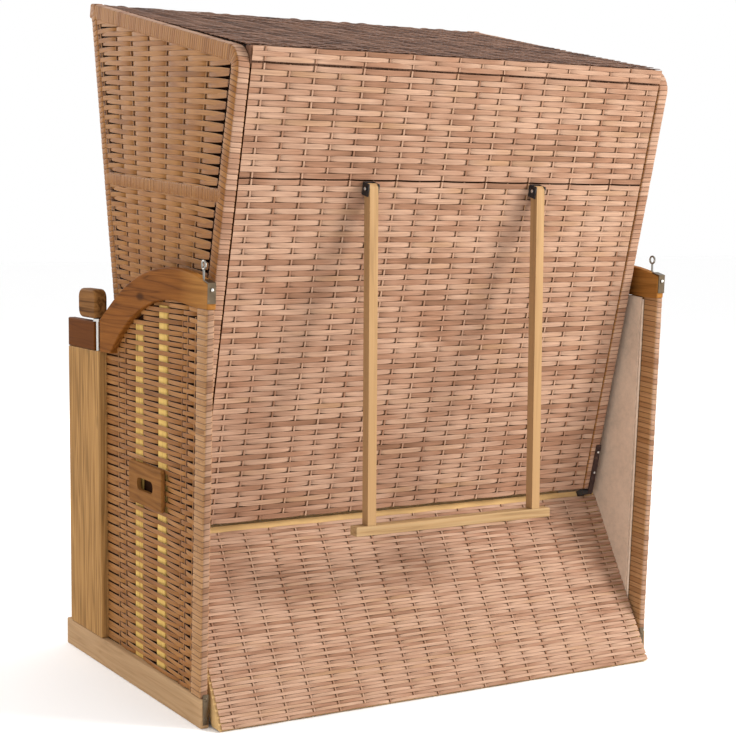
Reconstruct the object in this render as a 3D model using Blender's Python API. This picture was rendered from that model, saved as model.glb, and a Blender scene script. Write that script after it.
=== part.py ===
"""Hooded beach chair for two: a wicker hood that tilts back between two base walls.

Metres, +Z up, the open front faces -Y, the floor is z = 0 and the origin is the middle of the footprint's box.
While the pieces are drawn, y = 0 is the rear end of the side rails; the last step centres the footprint's box.
"Left" is the side of someone who sits in the chair, which is +X.
"""

import math

import bmesh
import bpy
from mathutils import Matrix, Vector

# Fits
SEAM = 0.0003  # gap between pieces that lie against each other
OVERRUN = 0.010  # how far a cutter stands out of what it cuts
RUNNING_GAP = 0.0003  # radial play of a pin or bolt in its hole

# Base walls
BASE_WIDTH = 1.200
WALL_THICK = 0.020
RAIL_LENGTH = 0.811
RAIL_HEIGHT = 0.065
BOARD_SETBACK = 0.030  # front board behind the rail's front end
BOARD_WIDTH = 0.212
BOARD_HEIGHT = 0.692
CAP_LENGTH = 0.178
CAP_HEIGHT = 0.070
WOOD_ROUND = 0.003  # rounding of planed edges

# Rear posts, which lean back a little
POST_WIDTH = 0.052
POST_THICK = 0.018
POST_SETBACK = 0.001
POST_LEAN = math.radians(2.8)
POST_ROUND = 0.006

# Arched armrests
ARM_OUTER_RADIUS = 0.680
ARM_FOOT = 0.066  # flat underside behind the front board, before the arch rises
ARM_PEAK_Z = 0.969
ARM_INNER_PEAK_Z = 0.899
ARM_PEAK_Y = -0.150
ARM_FRONT_Z = 0.833  # top of its straight front end
ARM_HEEL_Z = 0.888  # underside over the rear post
ARM_FLAT_FROM = 0.036  # where the underside's curve ends, behind its peak
ARM_STEPS = 14

# Side weave and lining
WEAVE_RECESS_FRONT = 0.0155  # how far the weave lies inside the wall's outer face
WEAVE_RECESS_REAR = 0.003
WEAVE_THICK = 0.0042
LINING_THICK = 0.005
LINING_MARGIN = 0.010

# Carry plates
PLATE_LENGTH = 0.200
PLATE_HEIGHT = 0.095
PLATE_THICK = 0.010
PLATE_AHEAD = 0.294  # its middle, ahead of the rail's rear end
PLATE_Z = 0.477
PLATE_ROUND = 0.008
PLATE_BEVEL = 0.003
FINGER_LENGTH = 0.097
FINGER_HEIGHT = 0.028

# Ironwork of the armrests
IRON_THICK = 0.002
CORNER_DROP = 0.052
CORNER_REACH = 0.024
CORNER_WIDTH = 0.018
SCREW_RADIUS = 0.0038
SCREW_HEAD = 0.0014
SCREW_SIDES = 12
EYE_Y = 0.006
EYE_RING_RADIUS = 0.0085
EYE_WIRE_RADIUS = 0.0024
EYE_RING_Z = 0.979
EYE_DEPTH = 0.020

# Sloping rear panel
PANEL_FOOT_Y = 0.045
PANEL_FOOT_Z = 0.006
PANEL_LEAN = math.radians(30.7)
PANEL_TOP_Z = 0.393
PANEL_SKIN = 0.005
PANEL_FRAME_THICK = 0.034
STILE_WIDTH = 0.034
PANEL_RAIL_WIDTH = 0.045
PANEL_BARE = 0.015  # strip of the top rail above the weave
PANEL_FLOOR_GAP = 0.003

# Seat and floor frame
PLANK_Z = 0.003
PLANK_THICK = 0.020
PLANK_WIDTH = 0.125
SEAT_TOP_Z = 0.305
SEAT_THICK = 0.015
SEAT_SETBACK = 0.056  # seat frame behind the front boards' front edges
SEAT_REAR_Y = -0.190
SEAT_OVERHANG = 0.004  # seat board over the battens' inner edges, towards the lining
BATTEN_WIDTH = 0.021
BATTEN_HEIGHT = 0.035
SEAT_RAIL_THICK = 0.020
SEAT_RAIL_HEIGHT = 0.030
CENTRE_THICK = 0.020

# Hood, in side view
HOOD_GAP = 0.024  # between the hood's side and the base wall
HOOD_BOTTOM_Z = 0.400
HOOD_FOOT_Y = -0.162  # outer face of its back at the bottom edge
BACK_LEAN = math.radians(14.7)
FRONT_LEAN = math.radians(11.0)
HOOD_FOOT_DEPTH = 0.335  # side panel at the bottom edge
HOOD_REAR_HEIGHT = 1.422
ROOF_RISE = math.radians(11.2)
MID_SEAM_Z = 1.156
MID_BAR_REAR_Z = 1.120
MID_BAR_RISE = math.radians(4.2)
SIDE_BAR_HEIGHT = 0.030
BACK_SEAM = 0.0020  # shadow gap between the back's two weaves
REAR_POST_WIDTH = 0.028
REAR_POST_DEPTH = 0.044
FRONT_POST_DEPTH = 0.032
HOOD_WALL = 0.022
HOOD_ROUND = 0.007
HOOD_SKIN = 0.008  # thickness of the hood's weaves
SKIN_RECESS = 0.0015
BACK_BOARD_THICK = 0.016
BACK_BOARD_DROP = 0.012  # its top edge below the roof
HOOD_LINING = 0.003
ROOF_THICK = 0.034
ROOF_BAR_WIDTH = 0.036

# Hood hinges
EYE_RADIUS = 0.0075
PIN_RADIUS = 0.004
HINGE_DROP = 0.010  # pin below the hood's bottom edge
HINGE_WIDTH = 0.014
HINGE_INSET = 0.001
HINGE_LENGTH = 0.118
HINGE_IRON = 0.003
BRACKET_WIDTH = 0.017
HINGE_SCREW_RISES = (0.045, 0.100)
BRACKET_MARGIN = 0.0012  # bare rail above and below the bracket
PIN_SIDES = 24

# Support frame on the hood's back
LEG_SPREAD = 0.437  # between the legs' middles
LEG_WIDTH = 0.021
LEG_DEPTH = 0.024
PROP_DROP = 0.012  # leg's round top below the seam of the back
CROSSBAR_LENGTH = 0.516
CROSSBAR_HEIGHT = 0.021
CROSSBAR_DEPTH = 0.028
CROSSBAR_Z = 0.390
FLANGE_THICK = 0.0015
FLANGE_GAP = 0.0006
EAR_THICK = 0.0025
EAR_HEIGHT = 0.031
BOLT_RADIUS = 0.003
BOLT_HEAD_RADIUS = 0.0048
BOLT_HEAD = 0.002

# Latches and notched arcs
ARC_BELOW_BOARD = 0.0044  # its rim under the latch, below the front board's top
ARC_WIDTH = 0.024
ARC_THICK = 0.004
ARC_SIDE_GAP = 0.0020
ARC_HEAD = math.radians(12.83)  # arc above the notch under the latch
ARC_TAIL = math.radians(2.0)  # arc past its last notch
NOTCH_STEP = math.radians(6.55)
NOTCH_DEPTH = 0.008
NOTCH_WIDTH = 0.014
NOTCHES = 8
SPACER_RADIUS = 0.007
ARC_SCREW_ANGLES = (math.radians(7.33), math.radians(10.83))  # above that notch
ROD_RADIUS = 0.005
ROD_INSET = 0.008  # rod's middle inside the wall's outer face
ROD_BEHIND_CAP = 0.0065
ROD_DEPTH = 0.055  # in the front board
ROD_SIDES = 16
TOOTH_WIDTH = 0.010
TOOTH_HEIGHT = 0.012
TOOTH_GAP = 0.0015
FERRULE_RADIUS = 0.012
FERRULE_HEIGHT = 0.0065
GRIP_LENGTH = 0.115
GRIP_THICK = 0.031
GRIP_HEIGHT = 0.070
GRIP_AHEAD = 0.036  # grip's middle ahead of the rod
GRIP_CORNER = 0.022
GRIP_ROUND = 0.007
GRIP_CLEAR = 0.0065  # grip's underside over the cap

# Footrests
FOOT_GAP = 0.004
FOOT_FRONT_THICK = 0.018
FOOT_FRONT_LOW_Z = 0.012
FOOT_FRONT_TOP_Z = 0.283
FOOT_LENGTH = 0.400
FOOT_SIDE_THICK = 0.015
FOOT_SIDE_INSET = 0.012
FOOT_TOP_Z = 0.178
FOOT_TOP_THICK = 0.012
FOOT_SLOT_LENGTH = 0.110
FOOT_SLOT_HEIGHT = 0.026
FOOT_SLOT_DROP = 0.040

# Cushions
SEAT_PAD_GAP = 0.0517  # between the seat cushion and a side lining
SEAT_PAD_THICK = 0.108
SEAT_PAD_REAR_Y = -0.224
BACK_PAD_GAP = 0.019  # between the back cushion and a side of the hood
BACK_PAD_THICK = 0.085
BACK_PAD_FROM = 0.012
BACK_PAD_HEIGHT = 0.790
FOOT_PAD_THICK = 0.048
FOOT_PAD_INSET = 0.008
PAD_DRAW = 0.010
PAD_BULGE = 0.005
PAD_FLOOR = 0.0006
PAD_SEAM_DEPTH = 0.014
PAD_SHOULDER_SHARE = 0.58
PAD_CROWN_POWER = 4

SIDES = (1, -1)
HALF = BASE_WIDTH / 2
WALL_IN = HALF - WALL_THICK
LINING_IN = WALL_IN - SEAM - LINING_THICK
HOOD_HALF = WALL_IN - HOOD_GAP
BOARD_FRONT_Y = -RAIL_LENGTH + BOARD_SETBACK
BOARD_REAR_Y = BOARD_FRONT_Y + BOARD_WIDTH
BOARD_TOP_Z = RAIL_HEIGHT + BOARD_HEIGHT
ARM_RUN = ARM_PEAK_Y - BOARD_REAR_Y - ARM_FOOT
ARM_LIFT = ARM_INNER_PEAK_Z - BOARD_TOP_Z
ARM_INNER_RADIUS = (ARM_RUN**2 + ARM_LIFT**2) / (2 * ARM_LIFT)  # of the arc through its foot and its peak
SEAT_FRONT_Y = BOARD_FRONT_Y + SEAT_SETBACK
CAP_REAR_Y = BOARD_FRONT_Y + CAP_LENGTH
CAP_TOP_Z = BOARD_TOP_Z + CAP_HEIGHT


class Line:
    """A straight line in the side view: a point (y, z), the way it runs, and the way to its piece's inside."""

    def __init__(self, y, z, run_y, run_z, inward=1):
        self.point = Vector((y, z))
        self.run = Vector((run_y, run_z)).normalized()
        self.inward = Vector((-self.run.y, self.run.x)) * inward
        self.turn = inward

    def inside(self, depth):
        moved = self.point + self.inward * depth
        return Line(moved.x, moved.y, self.run.x, self.run.y, self.turn)

    def at(self, along, depth=0):
        return self.point + self.run * along + self.inward * depth

    def meet(self, other):
        across = other.run.x * self.run.y - other.run.y * self.run.x
        gap = other.point - self.point
        return self.point + self.run * ((other.run.x * gap.y - other.run.y * gap.x) / across)


def level(z):
    return Line(0, z, 1, 0)


BACK = Line(HOOD_FOOT_Y, HOOD_BOTTOM_Z, math.sin(BACK_LEAN), math.cos(BACK_LEAN))
FRONT = Line(HOOD_FOOT_Y - HOOD_FOOT_DEPTH, HOOD_BOTTOM_Z, -math.sin(FRONT_LEAN), math.cos(FRONT_LEAN), -1)
ROOF_REAR = BACK.meet(level(HOOD_REAR_HEIGHT))
ROOF = Line(ROOF_REAR.x, ROOF_REAR.y, -math.cos(ROOF_RISE), math.sin(ROOF_RISE))
MID_BAR = Line(0, MID_BAR_REAR_Z, -math.cos(MID_BAR_RISE), math.sin(MID_BAR_RISE), -1)
PANEL = Line(PANEL_FOOT_Y, PANEL_FOOT_Z, -math.sin(PANEL_LEAN), math.cos(PANEL_LEAN))
PANEL_LENGTH = (PANEL_TOP_Z - PANEL_FOOT_Z) / math.cos(PANEL_LEAN)
POST_REAR = Line(-POST_SETBACK, RAIL_HEIGHT, math.sin(POST_LEAN), math.cos(POST_LEAN))

HOOD_PIVOT = BACK.at(-HINGE_DROP, EYE_RADIUS - HINGE_IRON - SEAM)
SEAM_ALONG = (MID_SEAM_Z - HOOD_BOTTOM_Z) / math.cos(BACK_LEAN)
LEG_OUT = LEG_DEPTH / 2 + FLANGE_GAP + FLANGE_THICK + SEAM
PROP_PIVOT = BACK.at(SEAM_ALONG - PROP_DROP - BACK_SEAM, -LEG_OUT)
ROD_Y = CAP_REAR_Y + ROD_BEHIND_CAP
ROD_X = HALF - ROD_INSET
ARC_REACH = HOOD_PIVOT.x - ROD_Y
ARC_RISE = BOARD_TOP_Z - ARC_BELOW_BOARD - HOOD_PIVOT.y
ARC_RADIUS = math.hypot(ARC_REACH, ARC_RISE)
LATCH_ANGLE = math.atan2(ARC_RISE, ARC_REACH)  # of the latch over the hood's hinge, seen from the side
ARC_TOP = LATCH_ANGLE + ARC_HEAD

WOOD = ("wood", (0.47, 0.25, 0.10), 0.45, 0)
PALE_WOOD = ("pale_wood", (0.62, 0.40, 0.20), 0.50, 0)
WICKER = ("wicker", (0.50, 0.29, 0.18), 0.55, 0)
ROOF_WICKER = ("roof_wicker", (0.22, 0.12, 0.09), 0.55, 0)
LINING = ("lining", (0.50, 0.36, 0.24), 0.90, 0)
CUSHION = ("cushion", (0.62, 0.52, 0.40), 0.95, 0)
STEEL = ("steel", (0.62, 0.60, 0.56), 0.30, 1)
BLACK_IRON = ("black_iron", (0.03, 0.03, 0.03), 0.50, 1)


def clear_scene():
    for old in list(bpy.data.objects):
        bpy.data.objects.remove(old, do_unlink=True)


def material(finish):
    name, colour, roughness, metallic = finish
    made = bpy.data.materials.get(name)
    if made is None:
        made = bpy.data.materials.new(name)
        made.use_nodes = True
        shader = made.node_tree.nodes["Principled BSDF"]
        shader.inputs["Base Color"].default_value = (*colour, 1)
        shader.inputs["Roughness"].default_value = roughness
        shader.inputs["Metallic"].default_value = metallic
    return made


def block(low, high):
    """A box between two corners."""
    mesh = bmesh.new()
    size = Vector(high) - Vector(low)
    middle = (Vector(high) + Vector(low)) / 2
    bmesh.ops.create_cube(mesh, size=1, matrix=Matrix.Translation(middle) @ Matrix.Diagonal((*size, 1)))
    return mesh


def prism(outline, low_x, high_x):
    """A side-view outline of (y, z) points, drawn out from low_x to high_x."""
    mesh = bmesh.new()
    face = mesh.faces.new([mesh.verts.new((low_x, y, z)) for y, z in outline])
    drawn = bmesh.ops.extrude_face_region(mesh, geom=[face])
    new = [part for part in drawn["geom"] if isinstance(part, bmesh.types.BMVert)]
    bmesh.ops.translate(mesh, verts=new, vec=(high_x - low_x, 0, 0))
    bmesh.ops.recalc_face_normals(mesh, faces=mesh.faces)
    return mesh


def back_section(outline, low, high):
    """An outline of (x, distance out from the hood's back), drawn along the back from low to high."""
    mesh = prism(outline, low, high)
    for vert in mesh.verts:
        along, x, out = vert.co
        vert.co = (x, *BACK.at(along, -out))
    bmesh.ops.recalc_face_normals(mesh, faces=mesh.faces)
    return mesh


def rod(start, end, radius, sides=ROD_SIDES):
    """A round bar between two points."""
    start, end = Vector(start), Vector(end)
    turn = Vector((0, 0, 1)).rotation_difference(end - start).to_matrix().to_4x4()
    place = Matrix.Translation((start + end) / 2) @ turn
    mesh = bmesh.new()
    bmesh.ops.create_cone(
        mesh, cap_ends=True, segments=sides, radius1=radius, radius2=radius, depth=(end - start).length, matrix=place
    )
    return mesh


def ring(middle, radius, wire, steps=16, sides=8):
    """A ring of round wire, standing in the side view's plane."""
    mesh = bmesh.new()
    circle = bmesh.ops.create_circle(mesh, segments=sides, radius=wire)["verts"]
    bmesh.ops.translate(mesh, verts=circle, vec=(radius, 0, 0))
    bmesh.ops.rotate(mesh, verts=circle, cent=(0, 0, 0), matrix=Matrix.Rotation(math.pi / 2, 3, "X"))
    bmesh.ops.spin(
        mesh,
        geom=circle + mesh.edges[:],
        cent=(0, 0, 0),
        axis=(0, 0, 1),
        angle=math.tau,
        steps=steps,
        use_merge=True,
    )
    bmesh.ops.remove_doubles(mesh, verts=mesh.verts, dist=SEAM / 10)
    bmesh.ops.rotate(mesh, verts=mesh.verts, cent=(0, 0, 0), matrix=Matrix.Rotation(math.pi / 2, 3, "Y"))
    bmesh.ops.translate(mesh, verts=mesh.verts, vec=middle)
    bmesh.ops.recalc_face_normals(mesh, faces=mesh.faces)
    return mesh


def arc(middle, radius, start, end, steps):
    """Points of a circle's arc in the side view, both ends included."""
    angles = [start + (end - start) * step / steps for step in range(steps + 1)]
    return [Vector((middle[0] + radius * math.cos(a), middle[1] + radius * math.sin(a))) for a in angles]


def rounded_rectangle(middle, length, height, corner, steps=4):
    """A side-view rectangle with round corners."""
    points = []
    for quarter, (across, up) in enumerate(((1, 1), (-1, 1), (-1, -1), (1, -1))):
        centre = (middle[0] + across * (length / 2 - corner), middle[1] + up * (height / 2 - corner))
        start = quarter * math.pi / 2
        points += arc(centre, corner, start, start + math.pi / 2, steps)
    return points


def mirrored(mesh):
    """A copy of a mesh on the other side of the chair."""
    other = mesh.copy()
    bmesh.ops.scale(other, vec=(-1, 1, 1), verts=other.verts)
    bmesh.ops.reverse_faces(other, faces=other.faces)
    return other


def on_side(mesh, side):
    return mesh if side > 0 else mirrored(mesh)


def side_name(side):
    return "left" if side > 0 else "right"


def make_body(name, pivot, parent=None):
    """An empty on a joint's axis, which carries the pieces that move with it."""
    body = bpy.data.objects.new(name, None)
    bpy.context.collection.objects.link(body)
    body["pivot"] = pivot
    body.location = Vector(pivot) - (Vector(parent["pivot"]) if parent else Vector((0, 0, 0)))
    body.parent = parent
    return body


def add(name, mesh, body, finish, bevel=0, segments=1):
    """A named piece on its body, drawn in the chair's frame and held relative to the body's pivot."""
    bmesh.ops.translate(mesh, verts=mesh.verts, vec=-Vector(body["pivot"]))
    data = bpy.data.meshes.new(name)
    mesh.to_mesh(data)
    data.materials.append(material(finish))
    data.shade_smooth()
    data.set_sharp_from_angle(angle=math.radians(35))
    piece = bpy.data.objects.new(name, data)
    bpy.context.collection.objects.link(piece)
    piece.parent = body
    if bevel:
        rounding = piece.modifiers.new("rounding", "BEVEL")
        rounding.width = bevel
        rounding.segments = segments
        rounding.limit_method = "ANGLE"
        rounding.angle_limit = math.radians(35)
    return piece


def combine(piece, mesh, body, operation, label):
    """Cuts a mesh out of a piece, or unites it with the piece."""
    bmesh.ops.translate(mesh, verts=mesh.verts, vec=-Vector(body["pivot"]))
    data = bpy.data.meshes.new(f"{piece.name}_{label}")
    mesh.to_mesh(data)
    tool = bpy.data.objects.new(f"{piece.name}_{label}", data)
    bpy.context.collection.objects.link(tool)
    tool.parent = body
    tool.hide_render = True
    tool.display_type = "WIRE"
    change = piece.modifiers.new(label, "BOOLEAN")
    change.operation = operation
    change.solver = "EXACT"
    change.object = tool


def cut(piece, mesh, body, label="cut"):
    combine(piece, mesh, body, "DIFFERENCE", label)


def unite(piece, mesh, body, label="join"):
    combine(piece, mesh, body, "UNION", label)


def weave_recess(y):
    """How far inside the wall's outer face the side weave lies at y: less towards the rear post."""
    front, rear = BOARD_REAR_Y, -POST_SETBACK - POST_WIDTH
    share = (y - front) / (rear - front)
    return WEAVE_RECESS_FRONT + (WEAVE_RECESS_REAR - WEAVE_RECESS_FRONT) * share


def lean_into_weave(mesh):
    """Shears a piece drawn at the wall's outer face so that it follows the side weave."""
    for vert in mesh.verts:
        vert.co.x -= weave_recess(vert.co.y)
    return mesh


def arm_lower(start_y, end_y, drop=0):
    """The underside of an armrest from start_y back to end_y, lowered by drop."""
    centre_z = ARM_INNER_PEAK_Z - ARM_INNER_RADIUS
    points = []
    for step in range(ARM_STEPS + 1):
        y = start_y + (end_y - start_y) * step / ARM_STEPS
        curve = centre_z + math.sqrt(max(ARM_INNER_RADIUS**2 - (y - ARM_PEAK_Y) ** 2, 0))
        flat = ARM_HEEL_Z if y > ARM_PEAK_Y else 0
        points.append(Vector((y, max(BOARD_TOP_Z, curve, flat) - drop)))
    return points


def arm_upper(y):
    """Height of an armrest's top face at y, on its arc or its straight front."""
    centre_z = ARM_PEAK_Z - ARM_OUTER_RADIUS
    curve = centre_z + math.sqrt(ARM_OUTER_RADIUS**2 - (y - ARM_PEAK_Y) ** 2)
    reach = math.atan2(BOARD_REAR_Y - ARM_PEAK_Y, ARM_FRONT_Z - centre_z)
    far = math.hypot(BOARD_REAR_Y - ARM_PEAK_Y, ARM_FRONT_Z - centre_z)
    touch = -reach - math.acos(min(ARM_OUTER_RADIUS / far, 1))
    touch_y = ARM_PEAK_Y - ARM_OUTER_RADIUS * math.sin(touch)
    if y >= touch_y:
        return curve
    touch_z = centre_z + ARM_OUTER_RADIUS * math.cos(touch)
    share = (y - BOARD_REAR_Y) / (touch_y - BOARD_REAR_Y)
    return ARM_FRONT_Z + (touch_z - ARM_FRONT_Z) * share


def rod_bore():
    """The bore for the latch's rod, down through the front board's top."""
    low, high = (ROD_X, ROD_Y, BOARD_TOP_Z - ROD_DEPTH), (ROD_X, ROD_Y, BOARD_TOP_Z + OVERRUN)
    return rod(low, high, ROD_RADIUS + RUNNING_GAP)


def eye_hole():
    """The hole for the eye screw, down into the armrest's rear end."""
    top = arm_upper(EYE_Y)
    low, high = (ROD_X, EYE_Y, top - EYE_DEPTH), (ROD_X, EYE_Y, top + OVERRUN)
    return rod(low, high, EYE_WIRE_RADIUS + RUNNING_GAP, SCREW_SIDES)


def base_walls(base):
    """Rails, front boards, caps, rear posts and armrests."""
    board_z = RAIL_HEIGHT + SEAM
    cap_z = BOARD_TOP_Z + SEAM
    post = POST_REAR.inside(POST_WIDTH)
    heel = level(ARM_HEEL_Z - SEAM)
    rear_y = POST_REAR.meet(level(arm_upper(0))).x
    for side in SIDES:
        name = side_name(side)
        rail = block((WALL_IN, -RAIL_LENGTH, 0), (HALF, 0, RAIL_HEIGHT))
        add(f"{name}_side_rail", on_side(rail, side), base, PALE_WOOD, WOOD_ROUND, 2)

        board = block((WALL_IN, BOARD_FRONT_Y, board_z), (HALF, BOARD_REAR_Y, BOARD_TOP_Z))
        piece = add(f"{name}_front_board", on_side(board, side), base, WOOD, WOOD_ROUND, 2)
        cut(piece, on_side(rod_bore(), side), base, "rod_bore")
        cap = block((WALL_IN, BOARD_FRONT_Y, cap_z), (HALF, CAP_REAR_Y, CAP_TOP_Z))
        add(f"{name}_arm_cap", on_side(cap, side), base, WOOD, WOOD_ROUND, 2)

        low = level(board_z)
        outline = [post.meet(low), POST_REAR.meet(low), POST_REAR.meet(heel), post.meet(heel)]
        upright = prism(outline, HALF - POST_THICK, HALF)
        add(f"{name}_rear_post", on_side(upright, side), base, WICKER, POST_ROUND, 2)

        steps = [BOARD_REAR_Y + (rear_y - BOARD_REAR_Y) * step / ARM_STEPS for step in range(ARM_STEPS + 1)]
        top = [Vector((y, arm_upper(y))) for y in steps[:-1]]
        top.append(POST_REAR.meet(level(arm_upper(rear_y))))
        under = arm_lower(BOARD_REAR_Y, ARM_PEAK_Y + ARM_FLAT_FROM)
        under = [*under, post.meet(level(ARM_HEEL_Z)), POST_REAR.meet(level(ARM_HEEL_Z))]
        arch = prism([*reversed(top), *under], WALL_IN, HALF)
        arm = add(f"{name}_armrest", on_side(arch, side), base, WOOD, WOOD_ROUND, 2)
        cut(arm, on_side(eye_hole(), side), base, "eye_hole")


def wall_infill(base):
    """Side weaves, linings and carry plates."""
    post = POST_REAR.inside(POST_WIDTH)
    low = level(RAIL_HEIGHT + SEAM)
    weave_rear = post.inside(SEAM)
    plate_middle = (-PLATE_AHEAD, PLATE_Z)
    lining_low = level(PLANK_Z + PLANK_THICK + SEAM)
    lining_high = level(BOARD_TOP_Z - SEAM)
    lining_front = Line(BOARD_FRONT_Y + LINING_MARGIN, 0, 0, 1)
    for side in SIDES:
        name = side_name(side)
        rear_top = weave_rear.meet(level(ARM_HEEL_Z - SEAM))
        curve = arm_lower(BOARD_REAR_Y + SEAM, ARM_PEAK_Y + ARM_FLAT_FROM, SEAM)
        outline = [weave_rear.meet(low), Vector((BOARD_REAR_Y + SEAM, low.point.y)), *curve, rear_top]
        skin = lean_into_weave(prism(outline, HALF - WEAVE_THICK, HALF))
        weave = add(f"{name}_side_weave", on_side(skin, side), base, WICKER)
        grip = rounded_rectangle(plate_middle, FINGER_LENGTH, FINGER_HEIGHT, FINGER_HEIGHT / 2 - SEAM)
        cut(weave, on_side(prism(grip, WALL_IN - OVERRUN, HALF + OVERRUN), side), base, "finger_hole")

        shape = rounded_rectangle(plate_middle, PLATE_LENGTH, PLATE_HEIGHT, PLATE_ROUND, 3)
        solid = lean_into_weave(prism(shape, HALF + SEAM, HALF + SEAM + PLATE_THICK))
        plate = add(f"{name}_carry_plate", on_side(solid, side), base, WOOD, PLATE_BEVEL, 2)
        cut(plate, on_side(prism(grip, WALL_IN - OVERRUN, HALF + 2 * OVERRUN), side), base, "finger_slot")

        outline = [
            post.meet(lining_low),
            lining_front.meet(lining_low),
            lining_front.meet(lining_high),
            *arm_lower(BOARD_REAR_Y, ARM_PEAK_Y + ARM_FLAT_FROM, SEAM),
            post.meet(level(ARM_HEEL_Z - SEAM)),
        ]
        panel = prism(outline, LINING_IN, LINING_IN + LINING_THICK)
        add(f"{name}_side_lining", on_side(panel, side), base, LINING)


def screw_head(middle, outward):
    """A low round head, sunk a little into the surface at middle."""
    outward = Vector(outward).normalized()
    foot = Vector(middle) - outward * SEAM
    return rod(foot, foot + outward * (SEAM + SCREW_HEAD), SCREW_RADIUS, SCREW_SIDES)


def base_ironwork(base):
    """Corner brackets with their screw heads, and eye screws."""
    rear_top = POST_REAR.meet(level(arm_upper(0)))
    slope = Line(0, arm_upper(0), CORNER_REACH, arm_upper(CORNER_REACH) - arm_upper(0), -1)
    outer_rear = POST_REAR.inside(-SEAM - IRON_THICK)
    inner_rear = POST_REAR.inside(-SEAM)
    outer_top = slope.inside(-SEAM - IRON_THICK)
    inner_top = slope.inside(-SEAM)
    drop = level(rear_top.y - CORNER_DROP)
    ahead = Line(rear_top.x - CORNER_REACH, 0, 0, 1)
    outline = [
        outer_rear.meet(drop),
        outer_rear.meet(outer_top),
        ahead.meet(outer_top),
        ahead.meet(inner_top),
        inner_rear.meet(inner_top),
        inner_rear.meet(drop),
    ]
    rearward = (0, math.cos(POST_LEAN), -math.sin(POST_LEAN))
    middle = outer_rear.meet(level(rear_top.y - CORNER_DROP / 2))
    stem_low = (ROD_X, EYE_Y, arm_upper(EYE_Y) - EYE_DEPTH + SEAM)
    stem_top = (ROD_X, EYE_Y, EYE_RING_Z - EYE_RING_RADIUS)
    for side in SIDES:
        name = side_name(side)
        corner = prism(outline, HALF - CORNER_WIDTH, HALF)
        piece = add(f"{name}_corner_bracket", on_side(corner, side), base, STEEL)
        cut(piece, on_side(eye_hole(), side), base, "eye_hole")
        head = screw_head((HALF - CORNER_WIDTH / 2, middle.x, middle.y), rearward)
        unite(piece, on_side(head, side), base, "screw")
        stem = rod(stem_low, stem_top, EYE_WIRE_RADIUS, SCREW_SIDES)
        eye = add(f"{name}_eye_screw", on_side(stem, side), base, STEEL)
        loop = ring((ROD_X, EYE_Y, EYE_RING_Z), EYE_RING_RADIUS, EYE_WIRE_RADIUS)
        unite(eye, on_side(loop, side), base, "ring")


def rear_panel(base):
    """The sloping panel behind the seat: a pale frame with a wicker skin."""
    half = LINING_IN - SEAM
    top = Line(*PANEL.at(PANEL_LENGTH), *PANEL.inward)
    floor = level(PANEL_FLOOR_GAP)
    face = PANEL.inside(PANEL_SKIN + SEAM)
    inner = PANEL.inside(PANEL_SKIN + SEAM + PANEL_FRAME_THICK)
    outline = [face.meet(floor), face.meet(top), inner.meet(top), inner.meet(floor)]
    frame = add("rear_panel_frame", prism(outline, -half, half), base, PALE_WOOD)
    before, behind = face.inside(-OVERRUN), inner.inside(OVERRUN)
    low = Line(*PANEL.at(PANEL_RAIL_WIDTH), *PANEL.inward)
    high = Line(*PANEL.at(PANEL_LENGTH - PANEL_RAIL_WIDTH), *PANEL.inward)
    window = [before.meet(low), before.meet(high), behind.meet(high), behind.meet(low)]
    cut(frame, prism(window, STILE_WIDTH - half, half - STILE_WIDTH), base, "window")

    weave_top = PANEL_LENGTH - PANEL_BARE
    outline = [PANEL.at(0), PANEL.at(weave_top), PANEL.at(weave_top, PANEL_SKIN), PANEL.at(0, PANEL_SKIN)]
    add("rear_panel_weave", prism(outline, -half, half), base, WICKER)


def seat_frame(base):
    """Front floor board, the frame under the seat, and the seat board."""
    plank_top = PLANK_Z + PLANK_THICK
    reach = WALL_IN - SEAM
    front = block((-reach, SEAT_FRONT_Y, PLANK_Z), (reach, SEAT_FRONT_Y + PLANK_WIDTH, plank_top))
    add("front_floor_board", front, base, PALE_WOOD)

    board_low = SEAT_TOP_Z - SEAT_THICK
    under = board_low - SEAM
    wall = LINING_IN - SEAM
    rail_rear = SEAT_FRONT_Y + SEAT_RAIL_THICK
    joint = SEAT_FRONT_Y + SEAT_RAIL_THICK / 2
    front_rail = block((-wall, SEAT_FRONT_Y, under - SEAT_RAIL_HEIGHT), (wall, rail_rear, under))
    frame = add("seat_frame", front_rail, base, PALE_WOOD)
    for side in SIDES:
        batten = block((wall - BATTEN_WIDTH, joint, under - BATTEN_HEIGHT), (wall, SEAT_REAR_Y, under))
        unite(frame, on_side(batten, side), base, f"{side_name(side)}_batten")
    centre = block((-CENTRE_THICK / 2, joint, plank_top + SEAM), (CENTRE_THICK / 2, SEAT_REAR_Y, under))
    unite(frame, centre, base, "centre_board")
    board_half = wall - SEAT_OVERHANG
    board = block((-board_half, SEAT_FRONT_Y, board_low), (board_half, SEAT_REAR_Y, SEAT_TOP_Z))
    add("seat_board", board, base, PALE_WOOD)


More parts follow.
